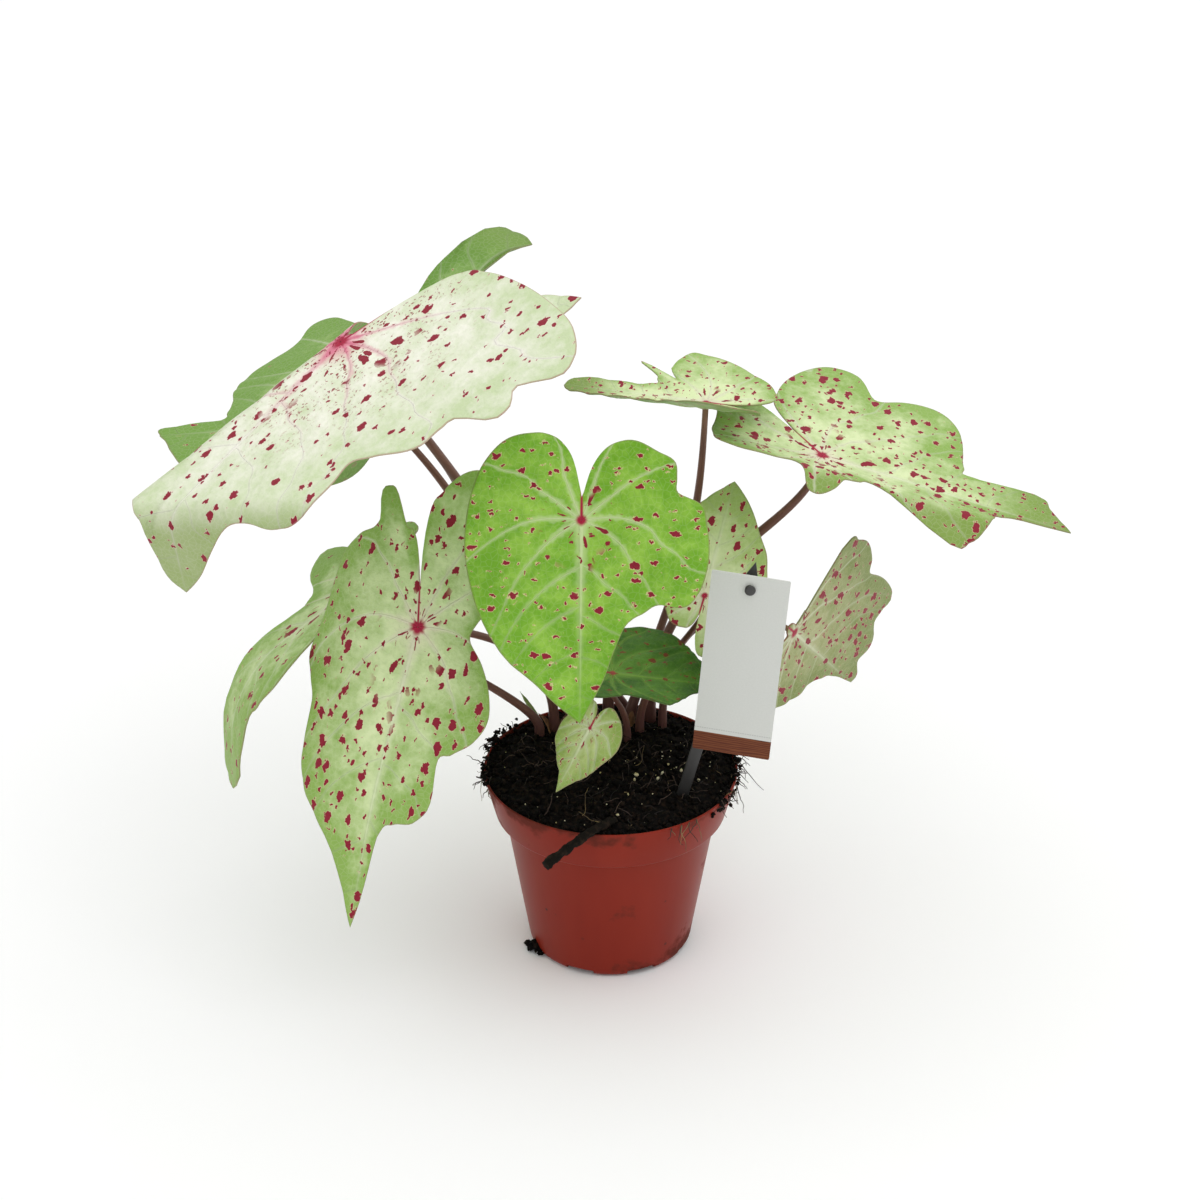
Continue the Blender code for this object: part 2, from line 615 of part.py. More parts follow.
def peat_height(x, y):
    """Height of the rough top of the peat."""
    share = math.hypot(x, y) / (POT_MOUTH_RADIUS - POT_WALL - CLEARANCE)
    rough = math.sin(0.31 * x + 0.7) * math.cos(0.27 * y - 0.4) + 0.5 * math.sin(0.53 * y + 0.45 * x)
    crown = PEAT_CROWN * (1 - share**2) - PEAT_EDGE_DROP * share**2
    return POT_HEIGHT + crown + PEAT_ROUGHNESS * rough * 0.6 * (1 - share**6)


def add_peat():
    """The plug of peat."""
    gap = POT_WALL + CLEARANCE
    mouth = POT_MOUTH_RADIUS - gap - 0.2
    edge = POT_HEIGHT - PEAT_EDGE_DROP
    neck = POT_HEIGHT - POT_COLLAR_HEIGHT - 2.2
    wall = (
        (POT_FOOT_RADIUS - POT_FOOT_ROUND - 1.6, POT_FLOOR + CLEARANCE),
        (POT_FOOT_RADIUS - gap - 0.2, POT_FOOT_ROUND + POT_FLOOR + 0.6),
        (POT_NECK_RADIUS - gap - 0.2, neck + 1.4),
        (POT_COLLAR_RADIUS - gap - 0.4, POT_HEIGHT - POT_COLLAR_HEIGHT + 1.6),
        (mouth, edge),
    )
    points = [(0, 0, wall[0][1])]
    rings = [(r, z) for r, z in wall]
    rings += [(mouth * (1 - k / PEAT_RINGS), None) for k in range(1, PEAT_RINGS)]
    for radius, z in rings:
        for i in range(POT_SIDES):
            a = i * 2 * math.pi / POT_SIDES
            x, y = radius * math.cos(a), radius * math.sin(a)
            points.append((x, y, peat_height(x, y) if z is None else z))
    points.append((0, 0, peat_height(0, 0)))
    last = len(points) - 1
    faces = []
    for i in range(POT_SIDES):
        j = (i + 1) % POT_SIDES
        faces.append((0, 1 + i, 1 + j))
        faces.append((last, last - POT_SIDES + i, last - POT_SIDES + j))
        for ring in range(len(rings) - 1):
            a, b = 1 + ring * POT_SIDES + i, 1 + ring * POT_SIDES + j
            faces += [(a, b, b + POT_SIDES), (a, b + POT_SIDES, a + POT_SIDES)]
    return add_object("peat", points, faces, PEAT)


def drill(made, low, high, radius, sides):
    """A plain hole with clearance round a post that stands from low to high."""
    way = (high - low) / np.linalg.norm(high - low)
    wide = (radius + CLEARANCE) / math.cos(math.pi / sides)
    path = np.array([low - CLEARANCE * way, high + 2 * way])
    points, faces = tube(path, [wide, wide], sides)
    boolean(made, add_object("hole", points, faces, PEAT), "DIFFERENCE")


def add_card():
    """The card on the stake's stud, turned a little to the right."""
    lean, yaw = math.radians(CARD_LEAN), math.radians(CARD_YAW)
    up = np.array([math.sin(lean), 0, math.cos(lean)])
    side = np.array([math.cos(lean), math.sin(yaw), -math.sin(lean)])
    side /= np.linalg.norm(side)
    out = np.cross(side, up)
    points = []
    for x in (-CARD_WIDTH / 2, CARD_WIDTH / 2):
        for y in (0, CARD_THICKNESS):
            for z in (-CARD_HEIGHT / 2, CARD_HEIGHT / 2):
                points.append(np.array(CARD_MIDDLE) + x * side + y * out + z * up)
    faces = [(0, 1, 3, 2), (4, 6, 7, 5), (0, 4, 5, 1), (2, 3, 7, 6), (0, 2, 6, 4), (1, 5, 7, 3)]
    card = add_object("card", points, faces, CARD)
    stud = stud_place()
    centre = stud - np.array([0, (stud - CARD_MIDDLE) @ out / out[1], 0])
    path = np.array([centre - 3 * out, centre + 3 * out])
    hole = tube(path, [CARD_HOLE_RADIUS] * 2, STUD_SIDES)
    boolean(card, add_object("hole", *hole, CARD), "DIFFERENCE")
    return card


def stake_axes():
    """Along the stake, and across it."""
    lean = math.radians(STAKE_LEAN)
    way = np.array([math.sin(lean), 0, math.cos(lean)])
    return way, np.array([math.cos(lean), 0, -math.sin(lean)])


def stud_place():
    """Where the stud leaves the front of the stake."""
    way = stake_axes()[0]
    middle = np.array(STAKE_FOOT) + (STAKE_LENGTH - STUD_DROP) * way
    return middle - np.array([0, STAKE_THICKNESS / 2, 0])


def add_stake():
    """A flat pointed stake with the headed stud that carries the card."""
    way, across = stake_axes()
    half = STAKE_WIDTH / 2
    shoulder = STAKE_LENGTH - STAKE_POINT
    outline = ((-half, -STAKE_DEPTH), (half, -STAKE_DEPTH), (half, shoulder), (0, STAKE_LENGTH),
               (-half, shoulder))
    points = []
    for y in (-STAKE_THICKNESS / 2, STAKE_THICKNESS / 2):
        for aside, along in outline:
            points.append(np.array(STAKE_FOOT) + aside * across + along * way + np.array([0, y, 0]))
    faces = [(0, 1, 2, 3, 4), (5, 6, 7, 8, 9)]
    faces += [(i, (i + 1) % 5, (i + 1) % 5 + 5, i + 5) for i in range(5)]
    stake = add_object("stake", points, faces, STAKE_PLASTIC)
    root = stud_place() + (0, STAKE_THICKNESS / 2, 0)
    end = stud_place() - (0, STUD_LENGTH, 0)
    neck = end + (0, STUD_HEAD_HEIGHT, 0)
    stem = tube(np.array([root, end]), [STUD_RADIUS] * 2, STUD_SIDES)
    head = tube(np.array([neck, end]), [STUD_HEAD_RADIUS] * 2, STUD_SIDES)
    boolean(stake, add_object("stem", *stem, STAKE_PLASTIC), "UNION")
    boolean(stake, add_object("head", *head, STAKE_PLASTIC), "UNION")
    return stake


def slot_for_stake(peat):
    """A plain slot in the peat round the stake."""
    way, across = stake_axes()
    half = STAKE_WIDTH / 2 + CLEARANCE
    thick = STAKE_THICKNESS / 2 + CLEARANCE
    points = []
    for along in (-STAKE_DEPTH - CLEARANCE, 8):
        for aside, y in ((-half, -thick), (half, -thick), (half, thick), (-half, thick)):
            points.append(np.array(STAKE_FOOT) + aside * across + along * way + np.array([0, y, 0]))
    faces = [(0, 1, 2, 3), (4, 5, 6, 7)]
    faces += [(i, (i + 1) % 4, (i + 1) % 4 + 4, i + 4) for i in range(4)]
    boolean(peat, add_object("slot", points, faces, PEAT), "DIFFERENCE")


def main():
    for item in list(bpy.data.objects):
        bpy.data.objects.remove(item, do_unlink=True)
    add_pot()
    peat = add_peat()
    for leaf in LEAVES:
        low, high = petiole_path(leaf)[:2]
        drill(peat, low, high, leaf.girth, 10)
        add_blade(leaf)
        add_petiole(leaf)
    shoot = np.array(SHOOT_PATH, float)
    drill(peat, shoot[0], shoot[1], SHOOT_RADII[0], 8)
    slot_for_stake(peat)
    add_card()
    add_stake()
    add_object("shoot", *tube(shoot, SHOOT_RADII, 8), SHOOT)
    add_object("sliver", *tube(np.array(SLIVER_PATH, float), SLIVER_RADII, 8), BARK)


if __name__ == "__main__":
    main()
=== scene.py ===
import math
from collections import namedtuple
from functools import partial

import bmesh
import bpy
import numpy as np
from mathutils import Euler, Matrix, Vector, noise


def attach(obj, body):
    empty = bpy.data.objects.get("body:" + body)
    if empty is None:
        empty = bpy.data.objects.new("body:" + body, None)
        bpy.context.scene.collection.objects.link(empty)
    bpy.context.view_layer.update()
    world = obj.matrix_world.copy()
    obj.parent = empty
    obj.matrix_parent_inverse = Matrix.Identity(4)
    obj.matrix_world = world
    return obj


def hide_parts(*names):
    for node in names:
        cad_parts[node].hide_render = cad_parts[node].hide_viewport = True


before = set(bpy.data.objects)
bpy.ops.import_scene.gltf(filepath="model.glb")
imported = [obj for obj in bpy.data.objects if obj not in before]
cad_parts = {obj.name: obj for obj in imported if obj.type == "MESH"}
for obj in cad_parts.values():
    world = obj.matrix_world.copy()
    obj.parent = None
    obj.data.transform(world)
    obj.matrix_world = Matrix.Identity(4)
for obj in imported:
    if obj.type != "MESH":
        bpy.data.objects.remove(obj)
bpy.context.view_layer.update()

# Tables are in millimetres and degrees. The camera and the lamp are in metres.
MM = 0.001
SMOOTH = {"interpolation_type": "SMOOTHSTEP"}

# Camera, where the photograph was taken from
CAMERA_ELEVATION = 28.0
CAMERA_DISTANCE = 1.3
CAMERA_AIM = (-0.005, 0.0, 0.182)
CAMERA_LENS = 85.44
CAMERA_SENSOR = 36

# Light: the room's strength at the horizon and overhead, and one wide lamp aimed at the plant
ROOM_LIGHT = (0.5, 1.3)
LAMP_PLACE = (0.7, -0.7, 1.8)
LAMP_AIM = (0, 0, 0.18)
LAMP_SIZE = 1.4
LAMP_POWER = 4

# Floor, in millimetres: how far it reaches each way, and its height, just under the pot
FLOOR_REACH = 30000.0
FLOOR_HEIGHT = -0.4

# Pot and peat, as in the CAD
CLEARANCE = 0.3
POT_HEIGHT = 93.0
POT_MOUTH_RADIUS = 60.0
POT_COLLAR_HEIGHT = 21.0
POT_COLLAR_RADIUS = 54.6
POT_NECK_RADIUS = 50.0
POT_FOOT_RADIUS = 39.0
POT_WALL = 1.2
POT_FLOOR = 1.6
POT_FOOT_ROUND = 3.0
POT_ROUNDING = 0.9
POT_SIDES = 192
DRAIN_COUNT = 8
DRAIN_WIDTH = 14.0
DRAIN_HEIGHT = 3.0
DRAIN_DEPTH = 7.0
PEAT_CROWN = 3.5
PEAT_EDGE_DROP = 1.6
PEAT_ROUGHNESS = 1.3
PEAT_RADIUS = POT_MOUTH_RADIUS - POT_WALL - CLEARANCE
# Rings and sides of the peat's crown
PEAT_GRID = (84, 300)

# Clumps of peat that spill over the lip: turn round the pot, spread, how far out, lowest, highest
RIM_CLUMPS = (
    (-8, 6.0, 1.6, 80, 97),
    (8, 6.0, 1.5, 88, 97),
    (-28, 5.0, 0.8, 87, 95),
    (160, 8.0, 1.2, 91, 98),
    (185, 5.0, 1.0, 90, 96),
)
# The largest perlite grains, as (x, y)
PERLITE = (
    (12, 2), (24, -10), (33, -9), (22, -17), (8, -30), (12, -14), (11, -18), (27, -3), (41, -14), (3, -46),
)
# Perlite strewn over all the peat, and round a middle: how many, where, and how widely
STREWN_PERLITE = 46
PERLITE_PATCH = (26, (28.0, -2.0), 11.0)
# Root hairs that hang down the collar: turn round the pot, how far down they reach
HANGING = ((-54, 9), (-58, 14), (-50, 11), (-63, 6), (-15, 12), (-20, 9), (5, 15), (188, 10), (200, 6))
# Crumbs over the peat, along its edge, and in each clump on the lip
CRUMBS = 1100
EDGE_CRUMBS = 330
CLUMP_CRUMBS = 70
# Crumbs fallen beside the foot: how many, middle, spread, and the height of their heap
FALLEN = (44, (-35.5, -17.0), 1.9, 3.5)
# Root fibres and straws: how many on the peat, how thick, and the seed of their draw
ROOT_FIBRES = (130, 0.28, 8)
STRAWS = (14, 0.22, 9)
CRUMB_SEED = 12
PERLITE_SEED = 5
# Dry sheaths: foot x and y, turn, lean, length, width
SHEATHS = (
    (-29, 31, 150, 0.5, 13, 6),
    (-23, 33, 60, 0.3, 10, 5),
    (10, 33, -80, 0.15, 16, 5),
    (16, 46, 20, 0.3, 9, 4),
)

# Blades and petioles, as in the CAD
BLADE_THICKNESS = 0.7
PETIOLE_TOP = 0.62
PETIOLE_DEPTH = 22.0
STRAIGHT_END = 3.0

# Card and stake, as in the CAD; the strip and the crease are heights on the card
CARD_WIDTH = 35.5
CARD_HEIGHT = 92.0
CARD_THICKNESS = 0.7
CARD_MIDDLE = (58.4, -30.6, 164.8)
CARD_YAW = -10.7
CARD_LEAN = 4.5
CARD_HOLE_RADIUS = 2.1
CARD_CORNER = 0.8
STRIP_HEIGHT = 9.5
CREASE_HEIGHT = 11.6
STAKE_WIDTH = 5.5
STAKE_THICKNESS = 1.6
STAKE_FOOT = (33.5, -25.5, 95.0)
STAKE_LEAN = 14.4
STAKE_LENGTH = 123.5
STAKE_DEPTH = 45.0
STAKE_POINT = 7.0
STAKE_ROUNDING = 0.4
STUD_DROP = 11.0
STUD_RADIUS = 1.5
STUD_LENGTH = 7.4
STUD_HEAD_RADIUS = 2.5
STUD_HEAD_HEIGHT = 1.1

# The shoot and the sliver of bark, as in the CAD
SHOOT_PATH = ((-34.5, 34.5, 84), (-34.5, 34.5, 98), (-38, 36, 104), (-43.5, 38.5, 112))
SHOOT_RADII = (1.5, 1.5, 1.2, 0.5)
SLIVER_PATH = ((2, -50, 95.6), (-7.5, -58.8, 95.7), (-19, -69, 92.8), (-29.5, -78.5, 89))
SLIVER_RADII = (1.5, 2.1, 1.9, 2.2)

# A fold or curl of a blade. (x, y) is a point of the flat blade with x towards its tip and y
# towards its left; across is the direction in which the blade starts to turn, in degrees from the
# tip; turn is positive downwards.
Bend = namedtuple("Bend", "x y across radius turn")

# joint: where the petiole meets the blade. heading, pitch, roll: of the blade at its joint.
# breadth scales the blade sideways. sides: the outline's left and right. ruffle: height, number
# and phase of the margin's waves. root: where the petiole leaves the peat. reach: how strongly
# the petiole starts upwards and ends square to the blade. girth: the petiole's radius at its
# foot. mesh: spokes and rings of the blade. lean: how far the petiole's start leans along x and y
# for each millimetre that it rises.
Leaf = namedtuple(
    "Leaf",
    "name joint heading pitch roll length breadth sides bends ruffle root reach girth mesh look lean",
    defaults=((0, 0),),
)

# Outlines of blades round their joints, each with its left and its right side: angle from the tip
# to the sinus, and radius as a share of the tip's length
HEART = (
    ((0, 1), (3, 0.915), (8.5, 0.8), (12, 0.72), (17, 0.635), (22.5, 0.572), (28, 0.55), (34, 0.552),
     (43.5, 0.572), (50.5, 0.668), (59, 0.69), (69, 0.677), (89, 0.622), (97, 0.605), (106, 0.5),
     (113, 0.52), (121, 0.548), (131, 0.51), (152, 0.445), (163, 0.355), (169, 0.266), (175, 0.15),
     (180, 0.115)),
    ((0, 1), (5, 0.94), (14, 0.847), (29, 0.778), (45, 0.7), (60, 0.635), (83, 0.585), (107, 0.56),
     (121, 0.557), (137, 0.542), (149, 0.496), (157, 0.462), (166, 0.393), (172.5, 0.285), (175.5, 0.19),
     (180, 0.115)),
)
DROOPING = (
    ((0, 1), (1.6, 0.9), (2.8, 0.8), (4, 0.7), (5.8, 0.655), (10.5, 0.633), (20, 0.63), (27.5, 0.57),
     (31, 0.48), (40, 0.468), (51.5, 0.487), (63, 0.47), (69, 0.425), (79, 0.337), (89, 0.255), (103, 0.27),
     (120, 0.4), (140, 0.51), (160, 0.545), (172.5, 0.524), (186, 0.435), (194, 0.34), (196.5, 0.24),
     (198, 0.12)),
    ((0, 1), (4.2, 0.887), (13, 0.765), (22, 0.72), (33, 0.687), (42, 0.632), (55, 0.54), (64, 0.56),
     (72, 0.59), (81, 0.535), (98, 0.508), (108, 0.515), (119, 0.48), (130, 0.43), (134, 0.44),
     (137.5, 0.51), (142.5, 0.512), (146.5, 0.47), (149, 0.37), (155, 0.32), (158, 0.27), (160, 0.2),
     (162, 0.12)),
)
SPREADING = (
    ((0, 1), (4, 0.91), (8, 0.81), (16, 0.69), (22.5, 0.68), (29, 0.705), (39, 0.692), (47, 0.625),
     (51, 0.575), (59, 0.59), (70.5, 0.657), (77, 0.65), (81.5, 0.665), (85, 0.775), (89, 0.79),
     (94.5, 0.755), (98.5, 0.86), (103, 0.865), (110, 0.81), (120.5, 0.677), (131.5, 0.562), (143, 0.467),
     (151, 0.4), (155.5, 0.3), (158, 0.13)),
    ((0, 1), (3.6, 0.93), (6.4, 0.8), (10.8, 0.757), (20, 0.72), (40, 0.62), (60, 0.56), (76, 0.6),
     (88, 0.61), (100, 0.53), (115, 0.45), (130, 0.34), (140, 0.22), (150, 0.12), (165, 0.05), (202, 0.04)),
)
ARCHING = (
    ((0, 0.97), (7, 0.885), (12.5, 0.84), (14.2, 0.78), (15, 0.66), (17, 0.585), (23, 0.57), (36, 0.617),
     (47, 0.676), (59, 0.685), (68, 0.622), (77, 0.54), (88, 0.665), (96, 0.685), (113, 0.56), (126, 0.42),
     (134, 0.33), (140, 0.13)),
    ((0, 0.97), (1.5, 0.8), (4, 0.71), (9, 0.69), (16, 0.69), (24, 0.68), (30, 0.62), (33, 0.42), (37, 0.3),
     (48, 0.25), (61, 0.235), (72, 0.28), (84, 0.31), (91, 0.3), (99, 0.24), (112, 0.2), (125, 0.21),
     (135, 0.29), (143, 0.38), (149, 0.42), (165, 0.43), (186, 0.43), (198, 0.46), (211, 0.475),
     (216, 0.44), (218.5, 0.3), (220, 0.13)),
)
BEHIND = (
    ((0, 1), (4, 0.96), (10, 0.93), (22, 0.88), (35, 0.8), (50, 0.68), (65, 0.54), (85, 0.45), (107, 0.4),
     (130, 0.38), (150, 0.35), (166, 0.28), (175, 0.18), (180, 0.115)),
    ((0, 1), (4, 0.99), (6, 0.86), (8, 0.74), (14, 0.7), (22, 0.72), (29, 0.78), (40, 0.8), (49, 0.76),
     (63, 0.77), (70, 0.86), (79, 0.8), (85, 0.68), (100, 0.5), (110, 0.5), (122, 0.58), (150, 0.46),
     (166, 0.34), (175, 0.18), (180, 0.115)),
)
ARCHED_BACK = (
    ((0, 1), (4, 1.02), (10, 1.025), (15, 0.985), (17.5, 0.87), (19, 0.75), (21, 0.71), (24, 0.66),
     (26, 0.605), (28, 0.53), (31, 0.43), (38, 0.34), (50, 0.29), (80, 0.26), (120, 0.25), (150, 0.24),
     (166, 0.2), (175, 0.15), (180, 0.115)),
    ((0, 1), (0.9, 0.87), (1.5, 0.73), (3, 0.67), (12, 0.625), (22.5, 0.555), (30, 0.44), (36, 0.34),
     (50, 0.22), (80, 0.17), (120, 0.16), (150, 0.16), (166, 0.15), (175, 0.13), (180, 0.115)),
)
PEEPING = (
    (0, 1), (2.4, 0.965), (5.6, 0.92), (10.5, 0.86), (14.5, 0.8), (17, 0.69), (21, 0.55), (28, 0.42),
    (40, 0.32), (60, 0.24), (90, 0.16), (120, 0.1), (150, 0.08), (180, 0.07),
)
LEVEL = (
    ((0, 1), (5, 0.97), (12, 0.84), (22, 0.68), (34, 0.5), (48, 0.42), (66, 0.45), (85, 0.5), (107, 0.52),
     (130, 0.54), (150, 0.48), (166, 0.36), (175, 0.18), (180, 0.115)),
    ((0, 1), (4, 0.98), (8, 0.9), (12, 0.62), (20, 0.44), (30, 0.45), (35.5, 0.55), (37.5, 0.71),
     (39.5, 0.62), (41, 0.47), (50, 0.5), (60, 0.585), (71, 0.66), (79, 0.615), (87, 0.585), (100, 0.54),
     (114, 0.507), (150, 0.5), (162, 0.486), (171, 0.372), (176, 0.22), (180, 0.115)),
)
UPRIGHT = (
    ((0, 1), (6, 0.93), (16, 0.84), (30, 0.74), (45, 0.66), (62, 0.58), (80, 0.48), (100, 0.38),
     (114, 0.35), (140, 0.343), (155, 0.312), (170, 0.25), (178, 0.14)),
    ((0, 1), (6, 0.92), (13.6, 0.83), (29.6, 0.68), (51, 0.6), (63, 0.56), (90, 0.56), (120, 0.58),
     (145, 0.57), (165, 0.53), (176, 0.42), (180, 0.28), (182, 0.14)),
)
TURNED = (
    ((0, 1), (2, 1.01), (6, 0.93), (11, 0.97), (16, 0.94), (21, 0.87), (24.5, 0.93), (28, 0.96),
     (32.7, 0.89), (40, 0.745), (45, 0.645), (57, 0.61), (70, 0.585), (82, 0.53), (94, 0.47), (97, 0.39),
     (99, 0.16), (105, 0.12), (180, 0.1)),
    ((0, 1), (1, 0.85), (3.3, 0.71), (8, 0.6), (25, 0.506), (53, 0.435), (80, 0.42), (110, 0.25),
     (128, 0.11), (180, 0.1)),
)
DARK = (
    ((0, 1), (6, 0.92), (19, 0.8), (34, 0.765), (50, 0.74), (60, 0.7), (70, 0.65), (78, 0.59), (100, 0.55),
     (124, 0.55), (150, 0.49), (166, 0.36), (175, 0.18), (180, 0.115)),
    ((0, 1), (3, 0.86), (8, 0.76), (18, 0.68), (30, 0.65), (42, 0.62), (51, 0.48), (59, 0.42), (73, 0.35),
     (90, 0.4), (103, 0.46), (130, 0.47), (150, 0.44), (166, 0.33), (175, 0.18), (180, 0.115)),
)
YOUNG = (
    ((0, 1), (6, 0.9), (15, 0.8), (27, 0.74), (45, 0.66), (65, 0.64), (82, 0.66), (98, 0.62), (112, 0.56),
     (127, 0.5), (152, 0.43), (165, 0.36), (174, 0.25), (180, 0.14)),
    ((0, 1), (4, 0.86), (8, 0.77), (20, 0.68), (36, 0.61), (57, 0.59), (76, 0.54), (92, 0.48), (108, 0.44),
     (130, 0.43), (150, 0.42), (165, 0.34), (173, 0.24), (180, 0.14)),
)
FOLDED = (
    ((0, 1), (6, 0.97), (15, 0.93), (22, 0.86), (25, 0.79), (28, 0.71), (34, 0.68), (41, 0.64), (46, 0.57),
     (49, 0.44), (52, 0.33), (60, 0.22), (80, 0.2), (110, 0.22), (140, 0.22), (165, 0.2), (175, 0.17),
     (180, 0.115)),
    ((0, 1), (5, 0.99), (11, 0.97), (15, 0.9), (19, 0.76), (24, 0.65), (30, 0.54), (35, 0.46), (38, 0.38),
     (44, 0.33), (58, 0.31), (68, 0.34), (74, 0.42), (80, 0.58), (85, 0.69), (90, 0.76), (95, 0.68),
     (100, 0.56), (120, 0.5), (150, 0.42), (165, 0.34), (175, 0.18), (180, 0.115)),
)

# Spokes and rings of a large and of a small blade, and steps and sides of a petiole
LARGE = (240, 44)
SMALL = (168, 26)
PETIOLE_STEPS = 72
PETIOLE_SIDES = 18

LEAVES = (
    Leaf(
        "leaf_heart", (-13, -45, 245), -91, -62, 0, 88, 1.0, HEART,
        (Bend(0, 0, 90, 60, -12), Bend(0, 0, -90, 60, -12)),
        (1.5, 7, 0), (-1, 45), (100, 40), 2.6, LARGE, "leaf_green",
    ),
    Leaf(
        "leaf_front_left", (-86, -35, 187), -121, -60, -12, 142, 0.7, DROOPING,
        (Bend(0, 12, 90, 60, 40), Bend(0, -12, -90, 60, 40), Bend(60, 0, 0, 160, 15)),
        (0, 7, 0), (-27, 33), (50, 40), 2.4, LARGE, "leaf_spotted",
    ),
    Leaf(
        "leaf_left_narrow", (-120.5, 15, 179.1), -158, -31, 8, 118.5, 0.6, FOLDED,
        (Bend(38, 0, 0, 60, 56),),
        (0, 6, 0), (-34, 28), (15, 30), 2.2, SMALL, "leaf_spotted",
    ),
    Leaf(
        "leaf_upper_left", (-115, -30, 322), -137, -28.4, 6.3, 150, 1.0, SPREADING,
        (Bend(106, -21, 21.5, 10, 85), Bend(0, -1, -101.5, 12, 75)),
        (0, 6, 0), (-9, 45), (138, 14), 3.0, LARGE, "leaf_pale", (-0.46, 0.13),
    ),
    Leaf(
        "leaf_back_left", (-125.4, 64, 262.9), 174, -26, -6, 94, 1.0, BEHIND,
        (Bend(60, 0, 0, 30, -20),),
        (0, 6, 0), (-19, 40), (148, 15), 2.4, LARGE, "leaf_spotted", (-0.43, 0.21),
    ),
    Leaf(
        "leaf_back_top", (-106.8, 83.8, 254), 36, 38, 10, 104.5, 0.8, ARCHED_BACK,
        (Bend(70, 0, 0, 30, 45),),
        (0, 5, 0), (-13, 50), (104, 31), 2.2, SMALL, "leaf_spotted", (-0.60, 0.45),
    ),
    Leaf(
        "leaf_back_small", (-95, 45, 277), 5.3, 21.4, 10, 88, 0.8, (PEEPING, PEEPING),
        (),
        (0, 5, 0), (7, 51), (165, 33), 1.8, SMALL, "leaf_pale", (-0.79, 0.26),
    ),
    Leaf(
        "leaf_right", (96.8, 35, 238.5), -13, -13, 4, 122, 1.0, ARCHING,
        (Bend(41, -19, -85, 10, 45), Bend(0, 0, -90, 30, -17)),
        (0, 6, 0), (19, 43), (80, 40), 2.8, LARGE, "leaf_spotted",
    ),
    Leaf(
        "leaf_upper_middle", (43.5, 47, 259.7), 167, 2, 0, 67, 1.0, LEVEL,
        (Bend(0, 0, 90, 30, -31), Bend(0, 0, -90, 30, -8)),
        (0, 6, 0), (10, 46), (76, 56), 2.4, LARGE, "leaf_spotted", (0.39, 0.38),
    ),
    Leaf(
        "leaf_behind_tag", (42.9, 5, 181.6), 73, 34, -3, 62, 0.85, UPRIGHT,
        (),
        (0, 5, 0), (14, 30), (30, 20), 2.0, SMALL, "leaf_spotted",
    ),
    Leaf(
        "leaf_low_right", (86, 20, 154), 65, -40, 107, 108, 0.95, TURNED,
        (),
        (0, 6, 0), (25, 34), (70, 20), 2.0, LARGE, "leaf_spotted",
    ),
    Leaf(
        "leaf_dark", (0.9, -8, 148.3), 0, -8, 14, 55, 1.0, DARK,
        (Bend(0, 0, -90, 30, -17),),
        (0, 5, 0), (8, 20), (20, 15), 1.8, SMALL, "leaf_shaded",
    ),
    Leaf(
        "leaf_small_front", (-9.5, -50, 143.7), -135, -48, -15, 32.5, 0.8, YOUNG,
        (),
        (0, 5, 0), (-5, -2), (20, 14), 1.4, SMALL, "leaf_spotted",
    ),
)

# Leaf tissue, in millimetres: cloudy mottling, flecks, the finest net of veins, how ragged a
# blotch is, the softness of its edge and the width of its pale ring; then the widths of veins
CLOUD = 15.0
FLECK = 3.2
NET = 2.6
RAGGED = 2.4
SPOT_EDGE = 0.12
SPOT_RING = 0.35
SIDE_VEIN = 0.55
MIDRIB = 1.5
VEIN_DEPTH = 0.5
BLADES_APART = 500.0  # between blades in the pattern, so that no two carry the same blotches
ROUND_SCALE = 14.0  # of the pattern for each radian round the joint
QUILT = 0.7  # how far the blade swells between its side veins
VEIN_LEAN = 0.45  # how far a side vein starts towards the tip for each millimetre outwards
VEIN_CURL = 4.0  # how strongly it then curls towards the tip
VEIN_SPACING = 0.22  # between side veins along the midrib, as a share of the blade's length
VEIN_FAN = 31.0  # degrees between the veins that fan out behind the joint
SINUS_FAN = 50.0  # degrees of the margin beside the sinus that may be crimson
SINUS_REACH = 0.42  # how far from the joint it is crimson, as a share of the blade's length
CRIMSON = "a8123a"

# pale, green: tissue. green_share: how much of it is green. margin: how much greener the margin
# is. turned: colour of the painted shade on the parts that fold down and on the last part of the
# tip. vein, vein_share: colour and strength of the veins. rose, blush: colour and strength round
# the joint. red, red_share: blotches. halo, ring: their rings. spot_cell, spot_size: the cells in
# which blotches lie and the largest one's radius, in millimetres. spotted: share of cells with a
# blotch. squeeze: of the blotches' pattern along and across the blade, so that they come out longer
# that way. stipple: strength of the finest dots. tip: how much darker the last part of the tip is,
# as painted shade. hem: colour of the margin's last half millimetre. under: true for the lower side.
Skin = namedtuple(
    "Skin",
    "name pale green green_share margin turned vein vein_share rose blush red red_share halo ring"
    " spot_cell spot_size spotted squeeze stipple tip hem under",
)
GREEN_SKIN = Skin(
    "green_leaf", "b0da5a", "70a922", 0.72, 0.12, "5f9a1e", "dbe8b4", 0.85, "c9d8a0", 0.35, "8e132c",
    1.0, "e2cf9c", 0.8, 6.6, 1.55, 0.64, (1.0, 0.66), 0.0, 0.0, "8c8a5a", False,
)
PALE_GREEN_SKIN = Skin(
    "spotted_leaf", "dceab4", "8fb356", 0.45, 0.55, "7c9641", "e6ecce", 0.7, "e2d8c0", 0.55, "8e132c",
    1.0, "e6cfae", 0.45, 6.6, 1.9, 0.8, (0.6, 1.0), 0.0, 0.0, "9a8a6a", False,
)
WHITE_SKIN = Skin(
    "pale_leaf", "f3f3e3", "c8d8aa", 0.5, 0.35, "8da257", "f6eeea", 0.75, "dc7f94", 0.9, "8e132c",
    1.0, "ecc8c4", 0.5, 9.6, 2.3, 0.6, (0.75, 1.0), 1.0, 0.0, "b07a74", False,
)
